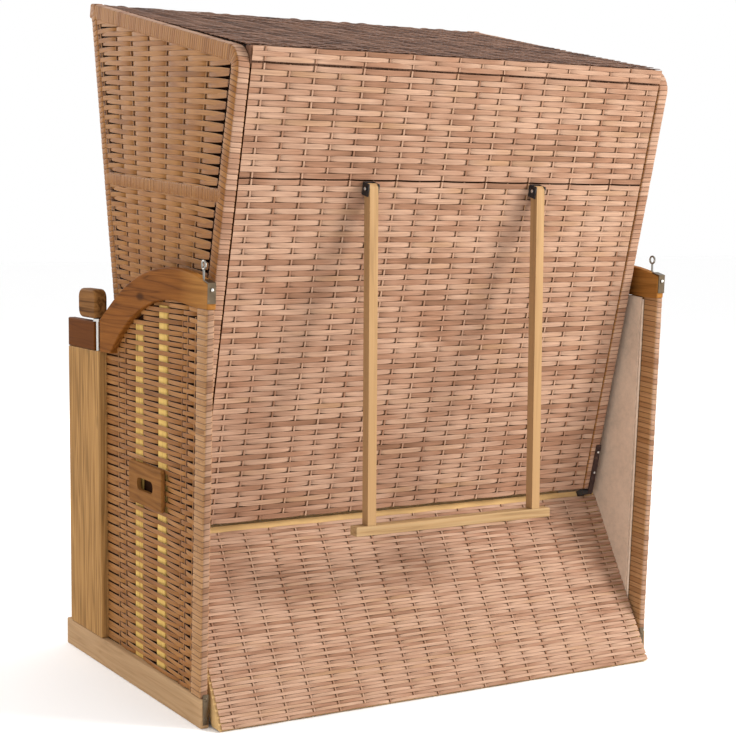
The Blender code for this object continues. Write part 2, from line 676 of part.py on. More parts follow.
def hinge_parts(base, hood):
    """Strap hinges at the hood's bottom corners, and the brackets that carry them on their pins."""
    outer_x = HOOD_HALF - HINGE_INSET
    inner_x = outer_x - HINGE_WIDTH
    bracket_in = inner_x - SEAM - BRACKET_WIDTH
    pivot = tuple(HOOD_PIVOT)
    outline = [
        BACK.at(-HINGE_DROP, -SEAM),
        BACK.at(HINGE_LENGTH, -SEAM),
        BACK.at(HINGE_LENGTH, -SEAM - HINGE_IRON),
        BACK.at(-HINGE_DROP, -SEAM - HINGE_IRON),
    ]
    rearward = (0, math.cos(BACK_LEAN), -math.sin(BACK_LEAN))
    rail_face = PANEL.inside(PANEL_SKIN)
    high = rail_face.at(PANEL_LENGTH - BRACKET_MARGIN)
    low = rail_face.at(PANEL_LENGTH - PANEL_BARE + BRACKET_MARGIN)
    out = (HOOD_PIVOT - (high + low) / 2).normalized()
    bend = math.atan2(out.y, out.x)
    nose = arc(pivot, EYE_RADIUS, bend + math.pi / 2, bend - math.pi / 2, 8)
    for side in SIDES:
        name = side_name(side)
        strap = add(f"{name}_hinge_strap", on_side(prism(outline, inner_x, outer_x), side), hood, BLACK_IRON)
        eye = rod((inner_x, *pivot), (outer_x, *pivot), EYE_RADIUS, PIN_SIDES)
        unite(strap, on_side(eye, side), hood, "eye")
        hole = rod((inner_x - OVERRUN, *pivot), (outer_x + OVERRUN, *pivot), PIN_RADIUS + RUNNING_GAP, PIN_SIDES)
        cut(strap, on_side(hole, side), hood, "pin_hole")
        for number, rise in enumerate(HINGE_SCREW_RISES):
            middle = BACK.at(rise, -SEAM - HINGE_IRON)
            head = screw_head((outer_x - HINGE_WIDTH / 2, *middle), rearward)
            unite(strap, on_side(head, side), hood, f"screw_{number}")

        bracket = prism([high, *nose, low], bracket_in, inner_x - SEAM)
        piece = add(f"{name}_hinge_bracket", on_side(bracket, side), base, BLACK_IRON)
        pin = rod((bracket_in + SEAM, *pivot), (outer_x, *pivot), PIN_RADIUS, PIN_SIDES)
        unite(piece, on_side(pin, side), base, "pin")


def hood_frame(hood):
    """The hood's side frames and the frame round its roof."""
    bottom = level(HOOD_BOTTOM_Z)
    under_roof = ROOF.inside(ROOF_THICK + SEAM)
    behind = BACK.inside(REAR_POST_DEPTH)
    before = FRONT.inside(FRONT_POST_DEPTH)
    inner_x = HOOD_HALF - HOOD_WALL
    outline = [BACK.meet(bottom), BACK.meet(under_roof), FRONT.meet(under_roof), FRONT.meet(bottom)]
    post = [BACK.meet(bottom), BACK.meet(under_roof), behind.meet(under_roof), behind.meet(bottom)]
    low_bar = level(HOOD_BOTTOM_Z + SIDE_BAR_HEIGHT)
    mid_low, mid_high = MID_BAR.inside(SIDE_BAR_HEIGHT / 2), MID_BAR.inside(-SIDE_BAR_HEIGHT / 2)
    lower = [behind.meet(low_bar), behind.meet(mid_low), before.meet(mid_low), before.meet(low_bar)]
    upper_edge = under_roof.inside(-OVERRUN)
    upper = [behind.meet(mid_high), behind.meet(upper_edge), before.meet(upper_edge), before.meet(mid_high)]
    whole = [behind.meet(low_bar), behind.meet(upper_edge), before.meet(upper_edge), before.meet(low_bar)]
    skin_in = HOOD_HALF - SKIN_RECESS - HOOD_SKIN - SEAM
    for side in SIDES:
        name = side_name(side)
        frame = add(
            f"{name}_hood_side_frame", on_side(prism(outline, inner_x, HOOD_HALF), side), hood, WICKER, HOOD_ROUND, 2
        )
        unite(frame, on_side(prism(post, HOOD_HALF - REAR_POST_WIDTH, inner_x + SEAM), side), hood, "rear_post")
        cut(frame, on_side(prism(lower, inner_x - OVERRUN, HOOD_HALF + OVERRUN), side), hood, "lower_window")
        cut(frame, on_side(prism(upper, inner_x - OVERRUN, HOOD_HALF + OVERRUN), side), hood, "upper_window")
        cut(frame, on_side(prism(whole, skin_in, HOOD_HALF + OVERRUN), side), hood, "weave_recess")

    roof_under = ROOF.inside(ROOF_THICK)
    outline = [BACK.meet(roof_under), BACK.meet(ROOF), FRONT.meet(ROOF), FRONT.meet(roof_under)]
    frame = add("roof_frame", prism(outline, -HOOD_HALF, HOOD_HALF), hood, WICKER, HOOD_ROUND, 2)
    rear_in, front_in = BACK.inside(ROOF_BAR_WIDTH), FRONT.inside(ROOF_BAR_WIDTH)
    above, below = ROOF.inside(-OVERRUN), ROOF.inside(ROOF_THICK + OVERRUN)
    window = [rear_in.meet(below), rear_in.meet(above), front_in.meet(above), front_in.meet(below)]
    half = HOOD_HALF - ROOF_BAR_WIDTH
    cut(frame, prism(window, -half, half), hood, "window")


def hood_skins(hood):
    """The hood's weaves, boards and linings."""
    under_roof = ROOF.inside(ROOF_THICK + SEAM)
    behind = BACK.inside(REAR_POST_DEPTH + SEAM)
    before = FRONT.inside(FRONT_POST_DEPTH + SEAM)
    bottom = level(HOOD_BOTTOM_Z + SIDE_BAR_HEIGHT + SEAM)
    mid_low, mid_high = MID_BAR.inside(SIDE_BAR_HEIGHT / 2), MID_BAR.inside(-SIDE_BAR_HEIGHT / 2)
    outer_x = HOOD_HALF - SKIN_RECESS
    outline = [behind.meet(bottom), behind.meet(under_roof), before.meet(under_roof), before.meet(bottom)]
    band = [behind.meet(mid_low), behind.meet(mid_high), before.meet(mid_high), before.meet(mid_low)]
    front_edge = FRONT.inside(SKIN_RECESS)
    lining_roof = ROOF.inside(ROOF_THICK + HOOD_LINING + 2 * SEAM)
    low = level(HOOD_BOTTOM_Z)
    lining = [behind.meet(low), behind.meet(lining_roof), front_edge.meet(lining_roof), front_edge.meet(low)]
    lining_x = HOOD_HALF - HOOD_WALL - SEAM
    for side in SIDES:
        name = side_name(side)
        skin = prism(outline, outer_x - HOOD_SKIN, outer_x)
        weave = add(f"{name}_hood_side_weave", on_side(skin, side), hood, WICKER)
        ridge = prism(band, outer_x - SKIN_RECESS, outer_x + SKIN_RECESS)
        unite(weave, on_side(ridge, side), hood, "wrapped_bar")
        board = prism(lining, lining_x - HOOD_LINING, lining_x)
        add(f"{name}_hood_lining", on_side(board, side), hood, LINING)

    between = HOOD_HALF - REAR_POST_WIDTH - SEAM
    top_along = (BACK.meet(under_roof) - BACK.point).length
    skin_in = SKIN_RECESS + HOOD_SKIN
    spans = {
        "hood_lower_back_weave": (0, SEAM_ALONG - BACK_SEAM / 2),
        "hood_upper_back_weave": (SEAM_ALONG + BACK_SEAM / 2, top_along - SEAM),
    }
    for name, (low, high) in spans.items():
        outline = [BACK.at(low, SKIN_RECESS), BACK.at(high, SKIN_RECESS), BACK.at(high, skin_in), BACK.at(low, skin_in)]
        add(name, prism(outline, -between, between), hood, WICKER)

    board_top = top_along - BACK_BOARD_DROP
    board_out, board_in = skin_in + SEAM, skin_in + SEAM + BACK_BOARD_THICK
    outline = [BACK.at(0, board_out), BACK.at(board_top, board_out), BACK.at(board_top, board_in), BACK.at(0, board_in)]
    add("hood_back_board", prism(outline, -between, between), hood, LINING)

    rear_in = BACK.inside(ROOF_BAR_WIDTH + SEAM)
    front_in = FRONT.inside(ROOF_BAR_WIDTH + SEAM)
    skin_top, skin_low = ROOF.inside(SKIN_RECESS), ROOF.inside(skin_in)
    outline = [rear_in.meet(skin_low), rear_in.meet(skin_top), front_in.meet(skin_top), front_in.meet(skin_low)]
    half = HOOD_HALF - ROOF_BAR_WIDTH - SEAM
    add("roof_weave", prism(outline, -half, half), hood, ROOF_WICKER)

    lining_low = ROOF.inside(ROOF_THICK + HOOD_LINING + SEAM)
    outline = [
        behind.meet(lining_low),
        behind.meet(under_roof),
        front_edge.meet(under_roof),
        front_edge.meet(lining_low),
    ]
    half = HOOD_HALF - HOOD_WALL - SEAM
    add("roof_lining", prism(outline, -half, half), hood, LINING)


def notched_arcs(hood):
    """Steel arcs round the hood's hinge, with a notch for each place that the latch can hold."""
    centre = tuple(HOOD_PIVOT)
    half_notch = NOTCH_WIDTH / 2 / ARC_RADIUS
    outer = [(math.pi - ARC_TOP, ARC_RADIUS)]
    for number in range(NOTCHES):
        middle = math.pi - LATCH_ANGLE + NOTCH_STEP * number
        start = outer[-1][0]
        outer.append((start + (middle - half_notch - start) / 2, ARC_RADIUS))
        outer += [(middle - half_notch, ARC_RADIUS), (middle - half_notch, ARC_RADIUS - NOTCH_DEPTH)]
        outer += [(middle + half_notch, ARC_RADIUS - NOTCH_DEPTH), (middle + half_notch, ARC_RADIUS)]
    tail = outer[-1][0] + ARC_TAIL
    outer.append((tail, ARC_RADIUS))
    edge = [Vector((centre[0] + r * math.cos(a), centre[1] + r * math.sin(a))) for a, r in outer]
    inner = arc(centre, ARC_RADIUS - ARC_WIDTH, tail, math.pi - ARC_TOP, NOTCHES * 2)
    start_x = HOOD_HALF + ARC_SIDE_GAP
    middle_radius = ARC_RADIUS - ARC_WIDTH / 2
    for side in SIDES:
        band = prism([*edge, *inner], start_x, start_x + ARC_THICK)
        piece = add(f"{side_name(side)}_notched_arc", on_side(band, side), hood, STEEL)
        for number, angle in enumerate(ARC_SCREW_ANGLES):
            y = centre[0] - middle_radius * math.cos(LATCH_ANGLE + angle)
            z = centre[1] + middle_radius * math.sin(LATCH_ANGLE + angle)
            spacer = rod((HOOD_HALF + SEAM, y, z), (start_x + SEAM, y, z), SPACER_RADIUS, SCREW_SIDES)
            unite(piece, on_side(spacer, side), hood, f"spacer_{number}")


def support_frame(hood, prop):
    """The folding support frame, and the clevis brackets with the pins that it swings on."""
    pivot = tuple(PROP_PIVOT)
    leg_x = LEG_SPREAD / 2
    bar_top = CROSSBAR_Z + CROSSBAR_HEIGHT
    half_depth = LEG_DEPTH / 2
    foot_z = bar_top + SEAM
    foot = [Vector((PROP_PIVOT.x - half_depth, foot_z)), Vector((PROP_PIVOT.x + half_depth, foot_z))]
    crown = arc(pivot, half_depth, 0, math.pi, 8)
    ear_gap = LEG_WIDTH / 2 + FLANGE_GAP
    along = (PROP_PIVOT - BACK.point).dot(BACK.run)
    face = SEAM - SKIN_RECESS
    low, high = along - EAR_HEIGHT / 2, along + half_depth
    flange_out = face + FLANGE_THICK
    ear_out = LEG_OUT + half_depth - FLANGE_THICK
    pin_in, pin_out = leg_x - ear_gap - EAR_THICK, leg_x + ear_gap + EAR_THICK
    channel = [
        (pin_in, face),
        (pin_out, face),
        (pin_out, ear_out),
        (leg_x + ear_gap, ear_out),
        (leg_x + ear_gap, flange_out),
        (leg_x - ear_gap, flange_out),
        (leg_x - ear_gap, ear_out),
        (pin_in, ear_out),
    ]
    for side in SIDES:
        name = side_name(side)
        leg = prism([*foot, *crown], leg_x - LEG_WIDTH / 2, leg_x + LEG_WIDTH / 2)
        piece = add(f"{name}_prop_leg", on_side(leg, side), prop, WOOD)
        hole = rod((pin_in, *pivot), (pin_out, *pivot), BOLT_RADIUS + RUNNING_GAP)
        cut(piece, on_side(hole, side), prop, "pin_hole")

        plates = back_section(channel, low, high)
        bracket = add(f"{name}_prop_bracket", on_side(plates, side), hood, BLACK_IRON)
        pin = rod((pin_in - BOLT_HEAD / 2, *pivot), (pin_out + BOLT_HEAD / 2, *pivot), BOLT_RADIUS)
        unite(bracket, on_side(pin, side), hood, "pin")
        for label, low_x, high_x in (
            ("inner", pin_in - BOLT_HEAD, pin_in + SEAM),
            ("outer", pin_out - SEAM, pin_out + BOLT_HEAD),
        ):
            head = rod((low_x, *pivot), (high_x, *pivot), BOLT_HEAD_RADIUS)
            unite(bracket, on_side(head, side), hood, f"{label}_head")

    crossbar = block(
        (-CROSSBAR_LENGTH / 2, PROP_PIVOT.x - CROSSBAR_DEPTH / 2, CROSSBAR_Z),
        (CROSSBAR_LENGTH / 2, PROP_PIVOT.x + CROSSBAR_DEPTH / 2, bar_top),
    )
    add("prop_crossbar", crossbar, prop, WOOD, WOOD_ROUND / 2, 2)


def latch(body, side):
    """A latch: a wooden grip on a steel rod whose tooth hangs over the notched arc."""
    reach = ARC_RADIUS**2 - (abs(ROD_Y - HOOD_PIVOT.x) - TOOTH_WIDTH / 2) ** 2
    tooth_z = HOOD_PIVOT.y + math.sqrt(reach) + TOOTH_GAP
    arc_x = HOOD_HALF + ARC_SIDE_GAP
    top = CAP_TOP_Z + GRIP_CLEAR
    shaft = rod(
        (ROD_X, ROD_Y, BOARD_TOP_Z - ROD_DEPTH + SEAM), (ROD_X, ROD_Y, top - FERRULE_HEIGHT / 2), ROD_RADIUS
    )
    piece = add(f"{side_name(side)}_latch_rod", on_side(shaft, side), body, STEEL)
    tooth = block(
        (arc_x - ARC_SIDE_GAP / 2, ROD_Y - TOOTH_WIDTH / 2, tooth_z),
        (ROD_X, ROD_Y + TOOTH_WIDTH / 2, tooth_z + TOOTH_HEIGHT),
    )
    unite(piece, on_side(tooth, side), body, "tooth")
    ferrule = rod((ROD_X, ROD_Y, top - FERRULE_HEIGHT), (ROD_X, ROD_Y, top - SEAM), FERRULE_RADIUS, 24)
    unite(piece, on_side(ferrule, side), body, "ferrule")

    middle = (ROD_Y - GRIP_AHEAD, top + GRIP_HEIGHT / 2)
    shape = rounded_rectangle(middle, GRIP_LENGTH, GRIP_HEIGHT, GRIP_CORNER, 5)
    grip = prism(shape, ROD_X - GRIP_THICK / 2, ROD_X + GRIP_THICK / 2)
    add(f"{side_name(side)}_latch_grip", on_side(grip, side), body, WOOD, GRIP_ROUND, 3)


def footrest(body, side):
    """A pull-out footrest: front board, a box of two runners with a top board, and a pad."""
    inner_x = CENTRE_THICK / 2 + FOOT_GAP
    outer_x = LINING_IN - BATTEN_WIDTH - FOOT_GAP - SEAM
    front_rear = SEAT_FRONT_Y - FOOT_GAP
    name = side_name(side)
    low_x, high_x = FOOT_GAP / 2, LINING_IN - FOOT_GAP
    board = block((low_x, front_rear - FOOT_FRONT_THICK, FOOT_FRONT_LOW_Z), (high_x, front_rear, FOOT_FRONT_TOP_Z))
    front = add(f"{name}_footrest_front", on_side(board, side), body, WOOD, WOOD_ROUND, 2)
    slot_z = FOOT_FRONT_TOP_Z - FOOT_SLOT_DROP
    shape = rounded_rectangle(
        ((low_x + high_x) / 2, slot_z), FOOT_SLOT_LENGTH, FOOT_SLOT_HEIGHT, FOOT_SLOT_HEIGHT / 2 - SEAM
    )
    slot = prism(shape, front_rear - FOOT_FRONT_THICK - OVERRUN, front_rear + OVERRUN)
    for vert in slot.verts:
        vert.co.xy = vert.co.yx
    bmesh.ops.reverse_faces(slot, faces=slot.faces)
    cut(front, on_side(slot, side), body, "finger_slot")

    low = PLANK_Z + PLANK_THICK + SEAM
    start, end = front_rear + SEAM, front_rear + FOOT_LENGTH
    top = block((inner_x, start, FOOT_TOP_Z - FOOT_TOP_THICK), (outer_x, end, FOOT_TOP_Z))
    frame = add(f"{name}_footrest_frame", on_side(top, side), body, PALE_WOOD)
    runner_top = FOOT_TOP_Z - FOOT_TOP_THICK / 2
    for label, x in (("inner", inner_x + FOOT_SIDE_INSET), ("outer", outer_x - FOOT_SIDE_INSET - FOOT_SIDE_THICK)):
        runner = block((x, start + SEAM, low), (x + FOOT_SIDE_THICK, end - SEAM, runner_top))
        unite(frame, on_side(runner, side), body, f"{label}_runner")

    pad = cushion(
        outer_x - inner_x - 2 * FOOT_PAD_INSET, end - start - 2 * FOOT_PAD_INSET, FOOT_PAD_THICK, (8, 8), (), ()
    )
    place = Vector(((inner_x + outer_x) / 2, (start + end) / 2, FOOT_TOP_Z + PAD_FLOOR + FOOT_PAD_THICK / 2))
    bmesh.ops.translate(pad, verts=pad.verts, vec=place)
    add(f"{name}_footrest_pad", on_side(pad, side), body, CUSHION)


def cushion(width, length, thick, cells, seam_rows, seam_columns):
    """A crowned cushion round the origin, its sides drawn in between the corners and its seams sunk."""
    columns, rows = cells
    mesh = bmesh.new()

    def place(i, j, face):
        u, v = 2 * i / columns - 1, 2 * j / rows - 1
        x = u * (width / 2 - PAD_BULGE - PAD_DRAW * (1 - v * v))
        y = v * (length / 2 - PAD_BULGE - PAD_DRAW * (1 - u * u))
        dome = math.sqrt((1 - abs(u) ** PAD_CROWN_POWER) * (1 - abs(v) ** PAD_CROWN_POWER))
        height = thick / 2 * (PAD_SHOULDER_SHARE + (1 - PAD_SHOULDER_SHARE) * dome)
        border = i in (0, columns) or j in (0, rows)
        if face > 0 and not border and (i in seam_columns or j in seam_rows):
            height -= PAD_SEAM_DEPTH
        if face < 0 and not border:
            height = thick / 2
        return mesh.verts.new((x, y, face * height))

    top = [[place(i, j, 1) for j in range(rows + 1)] for i in range(columns + 1)]
    under = [[place(i, j, -1) for j in range(rows + 1)] for i in range(columns + 1)]
    for i in range(columns):
        for j in range(rows):
            mesh.faces.new((top[i][j], top[i + 1][j], top[i + 1][j + 1], top[i][j + 1]))
            mesh.faces.new((under[i][j + 1], under[i + 1][j + 1], under[i + 1][j], under[i][j]))
    border = [(i, 0) for i in range(columns + 1)] + [(columns, j) for j in range(1, rows + 1)]
    border += [(i, rows) for i in range(columns - 1, -1, -1)] + [(0, j) for j in range(rows - 1, 0, -1)]
    waist = []
    for i, j in border:
        edge = top[i][j].co
        outward = Vector((2 * i / columns - 1, 2 * j / rows - 1, 0)).normalized()
        waist.append(mesh.verts.new((edge.x + outward.x * PAD_BULGE, edge.y + outward.y * PAD_BULGE, 0)))
    for number, (i, j) in enumerate(border):
        k, m = border[(number + 1) % len(border)]
        here, there = waist[number], waist[(number + 1) % len(border)]
        mesh.faces.new((top[i][j], here, there, top[k][m]))
        mesh.faces.new((here, under[i][j], under[k][m], there))
    bmesh.ops.recalc_face_normals(mesh, faces=mesh.faces)
    return mesh


def seat_and_back_cushions(base, hood):
    """The seat cushion on its board and the back cushion on the hood's inner board."""
    length = SEAT_PAD_REAR_Y - SEAT_FRONT_Y
    seat = cushion(2 * (LINING_IN - SEAT_PAD_GAP), length, SEAT_PAD_THICK, (16, 9), (), (8,))
    middle_y = SEAT_FRONT_Y + length / 2
    bmesh.ops.translate(seat, verts=seat.verts, vec=(0, middle_y, SEAT_TOP_Z + PAD_FLOOR + SEAT_PAD_THICK / 2))
    add("seat_cushion", seat, base, CUSHION)

    rows = 15
    width = 2 * (HOOD_HALF - HOOD_WALL - BACK_PAD_GAP)
    back = cushion(width, BACK_PAD_HEIGHT, BACK_PAD_THICK, (12, rows), range(3, rows, 3), ())
    bmesh.ops.rotate(back, verts=back.verts, cent=(0, 0, 0), matrix=Matrix.Rotation(math.pi / 2 - BACK_LEAN, 3, "X"))
    board_in = SKIN_RECESS + HOOD_SKIN + BACK_BOARD_THICK + SEAM
    y, z = BACK.at(BACK_PAD_FROM + BACK_PAD_HEIGHT / 2, board_in + PAD_FLOOR + BACK_PAD_THICK / 2)
    bmesh.ops.translate(back, verts=back.verts, vec=(0, y, z))
    add("back_cushion", back, hood, CUSHION)


def centre_footprint(base):
    """Moves the whole chair along Y so that the middle of its box lies over the origin."""
    graph = bpy.context.evaluated_depsgraph_get()
    ends = []
    for piece in bpy.data.objects:
        if piece.type == "MESH" and not piece.hide_render:
            solid = piece.evaluated_get(graph)
            ends += [(solid.matrix_world @ Vector(corner)).y for corner in solid.bound_box]
    base.location.y -= (min(ends) + max(ends)) / 2


def build_chair():
    clear_scene()
    base = make_body("base_body", (0, 0, 0))
    hood = make_body("hood_body", (0, *HOOD_PIVOT), base)
    prop = make_body("prop_body", (0, *PROP_PIVOT), hood)
    base_walls(base)
    wall_infill(base)
    base_ironwork(base)
    rear_panel(base)
    seat_frame(base)
    hinge_parts(base, hood)
    hood_frame(hood)
    hood_skins(hood)
    notched_arcs(hood)
    support_frame(hood, prop)
    for side in SIDES:
        name = side_name(side)
        latch(make_body(f"{name}_latch_body", (side * ROD_X, ROD_Y, BOARD_TOP_Z), base), side)
        footrest(make_body(f"{name}_footrest_body", (0, SEAT_FRONT_Y, FOOT_TOP_Z), base), side)
    seat_and_back_cushions(base, hood)
    centre_footprint(base)


build_chair()
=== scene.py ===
"""Looks of the hooded beach chair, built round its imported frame.

Metres, +Z up. The chair's open front faces -Y, and its left side is +X.
The camera stands behind the chair, on its left side, as in the photograph.
"""

import functools
import math
import random

import bmesh
import bpy
import numpy as np
from mathutils import Matrix, Vector
from mathutils.bvhtree import BVHTree


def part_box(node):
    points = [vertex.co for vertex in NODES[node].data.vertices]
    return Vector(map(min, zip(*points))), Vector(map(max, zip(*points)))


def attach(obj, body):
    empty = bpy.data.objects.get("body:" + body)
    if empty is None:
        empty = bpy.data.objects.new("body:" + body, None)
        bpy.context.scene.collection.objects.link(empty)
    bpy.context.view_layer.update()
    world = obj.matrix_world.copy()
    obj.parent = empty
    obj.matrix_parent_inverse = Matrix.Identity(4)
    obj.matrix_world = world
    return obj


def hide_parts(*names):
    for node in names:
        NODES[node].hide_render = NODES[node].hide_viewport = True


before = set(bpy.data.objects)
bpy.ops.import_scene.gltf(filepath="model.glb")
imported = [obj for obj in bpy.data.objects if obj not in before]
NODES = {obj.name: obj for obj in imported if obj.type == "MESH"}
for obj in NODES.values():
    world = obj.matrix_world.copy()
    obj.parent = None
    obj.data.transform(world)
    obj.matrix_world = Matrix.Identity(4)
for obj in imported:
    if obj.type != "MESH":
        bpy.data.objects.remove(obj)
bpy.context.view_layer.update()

# Camera, fitted to the photograph
CAMERA_PLACE = (2.0071, 3.4597, 1.0880)
CAMERA_YAW = math.radians(30.232)
CAMERA_PITCH = math.radians(5.380)
CAMERA_ROLL = math.radians(0.376)
CAMERA_LENS = 80.67
CAMERA_SENSOR = 36.0

# Leans of the frame's planes, as in the CAD source
BACK_LEAN = math.radians(14.7)
ROOF_RISE = math.radians(11.2)
PANEL_LEAN = math.radians(30.7)
FRONT_LEAN = math.radians(11.0)
POST_LEAN = math.radians(2.8)
MID_BAR_RISE = math.radians(4.2)

# Woven strand
STRAND_SECTION = ((-1.0, 0.0), (-0.88, 0.8), (0.0, 1.0), (0.88, 0.8), (1.0, 0.0), (0.0, -1.0))
STEPS = (0.0, 0.3, 0.55, 0.75, 0.88, 0.95)  # samples from the stake a strand passes over to the next one
BOW = 0.36  # share of its dive that a strand makes as an even bow, before it plunges
BOW_POWER, PLUNGE_POWER = 1.5, 7.5
NARROWING = 0.02  # share of its width that a strand loses behind a stake
PINCH_REACH = 0.035  # how far rows draw together beside a bar
STRAND_SHARP = 30  # degrees between faces of a strand from which their edge shows
OVERHANG = 0.03  # how far outside a patch, as a share of it, the next stake is taken to be
STAKE_STEPS = 24
SLOW_WAVES, QUICK_WAVES = (3, 0.5, 2.5), (3, 4, 9)  # number, and range of waves over a patch

# Wound strand, from the middle of one groove to the next
WRAP_PITCH = 0.0125
WRAP_PHASES = (0.0, 0.09, 0.3, 0.7, 0.91, 0.995)
WRAP_HEIGHTS = (0.0, 0.82, 1.0, 1.0, 0.82, 0.05)

SIDES = (("left", 1), ("right", -1))


def unit(vector):
    return Vector(vector).normalized()


def side_lean(angle):
    """Unit vector in the side view that leans back by an angle from straight up."""
    return Vector((0, math.sin(angle), math.cos(angle)))


# Meshes


def grid_quads(rows, columns, closed=True):
    """Quads of a grid of rows by columns points, closed round its columns or not."""
    row, column = np.meshgrid(np.arange(rows - 1), np.arange(columns if closed else columns - 1), indexing="ij")
    after = (column + 1) % columns
    low, high = row * columns, (row + 1) * columns
    return np.stack((low + column, low + after, high + after, high + column), axis=-1).reshape(-1, 4)


class Tubes:
    """Closed tubes of one section, such as strands and rods, gathered into one mesh."""

    def __init__(self, section):
        self.section = np.array(section, float)
        self.points, self.quads, self.marks = [], [], []
        self.count = 0

    def add(self, centres, across, out, width, thick, tint):
        """A tube along centres, with arrays or single values for its half width and half thickness."""
        centres = np.asarray(centres, float)
        steps, sides = len(centres), len(self.section)
        width, thick = (np.broadcast_to(np.asarray(size, float), steps) for size in (width, thick))
        across, out = (np.broadcast_to(np.asarray(way, float), (steps, 3)) for way in (across, out))
        ring = (
            centres[:, None]
            + across[:, None] * (width[:, None] * self.section[:, 0])[..., None]
            + out[:, None] * (thick[:, None] * self.section[:, 1])[..., None]
        )
        run = np.concatenate(([0], np.cumsum(np.linalg.norm(np.diff(centres, axis=0), axis=1))))
        marks = np.empty((steps, sides, 3))
        marks[..., 0] = run[:, None]
        marks[..., 1] = self.section[:, 0]
        marks[..., 2] = tint
        caps = [(0, side, side + 1, side + 2) for side in range(1, sides - 2, 2)]
        low = np.array(caps)[:, ::-1]
        high = np.array(caps) + (steps - 1) * sides
        self.quads.append(np.concatenate((grid_quads(steps, sides), low, high)) + self.count)
        self.points.append(ring.reshape(-1, 3))
        self.marks.append(marks.reshape(-1, 3))
        self.count += steps * sides

    def mesh(self, name, sharp=STRAND_SHARP):
        points, quads, marks = (np.concatenate(rows) for rows in (self.points, self.quads, self.marks))
        return mesh_from(name, points, quads, marks, sharp)


def mesh_from(name, points, quads, marks, sharp):
    """A mesh from arrays, sharp at edges over an angle, with a marks attribute that its material reads."""
    mesh = bpy.data.meshes.new(name)
    mesh.from_pydata(points.tolist(), [], quads.tolist())
    attribute = mesh.attributes.new("strand", "FLOAT_VECTOR", "POINT")
    attribute.data.foreach_set("vector", np.asarray(marks, np.float32).ravel())
    work = bmesh.new()
    work.from_mesh(mesh)
    bmesh.ops.remove_doubles(work, verts=work.verts, dist=1e-6)
    bmesh.ops.dissolve_degenerate(work, edges=work.edges, dist=1e-6)
    open_edges = [edge for edge in work.edges if edge.is_boundary]
    if open_edges:
        bmesh.ops.holes_fill(work, edges=open_edges)
    bmesh.ops.recalc_face_normals(work, faces=work.faces)
    work.to_mesh(mesh)
    work.free()
    mesh.shade_smooth()
    mesh.set_sharp_from_angle(angle=math.radians(sharp))
    return mesh


def circle(sides):
    return [(math.cos(math.tau * k / sides), math.sin(math.tau * k / sides)) for k in range(sides)]


def piece(name, mesh, body, material, slot, *replaced):
    """A named piece of the chair that rides on a body, and may stand for CAD nodes."""
    made = bpy.data.objects.new(name, mesh)
    bpy.context.scene.collection.objects.link(made)
    mesh.materials.append(material)
    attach(made, body)
    if replaced:
        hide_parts(*replaced)
    return made


# Faces of the frame


def points_of(node):
    return np.array([vert.co for vert in NODES[node].data.vertices], float)


def plane_of(node, out, depth=0.0, margin=0.0004):
    """The points of a node that lie depth inside its outermost plane towards out."""
    points = points_of(node)
    height = points @ np.array(out)
    return points[abs(height - height.max() + depth) < margin]


class Patch:
    """A flat four-cornered face: s runs from 0 to 1 along it, and t from 0 to 1 up it."""

    def __init__(self, corners, out):
        self.low_start, self.low_end, self.high_end, self.high_start = (np.array(c, float) for c in corners)
        self.out = np.array(unit(out))
        run = self.low_end + self.high_end - self.low_start - self.high_start
        rise = self.high_start + self.high_end - self.low_start - self.low_end
        self.length, self.height = np.linalg.norm(run / 2), np.linalg.norm(rise / 2)
        self.along, self.up = np.array(unit(run)), np.array(unit(rise))

    def shrunk(self, ends, edges):
        """The patch cut back by a distance at its ends and by another along its edges."""
        s, t = ends / self.length, edges / self.height
        shares = ((s, t), (1 - s, t), (1 - s, 1 - t), (s, 1 - t))
        return Patch([self.at(*share) for share in shares], self.out)

    def at(self, s, t):
        s, t = np.asarray(s, float)[..., None], np.asarray(t, float)[..., None]
        low = self.low_start + (self.low_end - self.low_start) * s
        high = self.high_start + (self.high_end - self.high_start) * s
        return low + (high - low) * t


def patch_of(node, along, up, out, depth=0.0):
    """The outer face of a node as a patch, found by its outermost corners."""
    points = plane_of(node, out, depth)
    along, up = np.array(unit(along)), np.array(unit(up))
    u, v = points @ along, points @ up
    u, v = (u - u.min()) / np.ptp(u), (v - v.min()) / np.ptp(v)
    signs = ((-1, -1), (1, -1), (1, 1), (-1, 1))
    return Patch([points[np.argmax(a * u + b * v)] for a, b in signs], out)


class Face:
    """A flat face seen edge-on from the side: its way out, and how far out it lies."""

    def __init__(self, out, height):
        self.out, self.height = Vector(out), height

    def inside(self, depth):
        return Face(self.out, self.height - depth)

    def depth(self, points):
        """How far inside the face points lie."""
        return self.height - points @ np.array(self.out)

    def meet(self, other, x=0.0):
        """The point at x that lies on both faces."""
        (_, a, b), (_, c, d) = self.out, other.out
        share = a * d - b * c
        y = (self.height * d - b * other.height) / share
        return Vector((x, y, (a * other.height - self.height * c) / share))

    def line(self, start, end, x):
        """A route at x, straight over the face from one other face to another."""
        return straight(self.meet(start, x), self.meet(end, x), self.out)

    def across(self, other, reach):
        """A route along the edge that the face shares with another, from -reach to reach."""
        return straight(self.meet(other, -reach), self.meet(other, reach), self.out)


def face_of(node, out):
    return Face(out, float((points_of(node) @ np.array(out)).max()))


# Weaving


def ripple(generator, count, low, high):
    """Frequencies and phases of a smooth random wave over a panel."""
    limits = ((low, high), (low, high), (0, math.tau))
    return [tuple(generator.uniform(*limit) for limit in limits) for _ in range(count)]


def wave_at(waves, a, b):
    return sum(np.sin(math.tau * (f * a + g * b) + phase) for f, g, phase in waves) / len(waves)


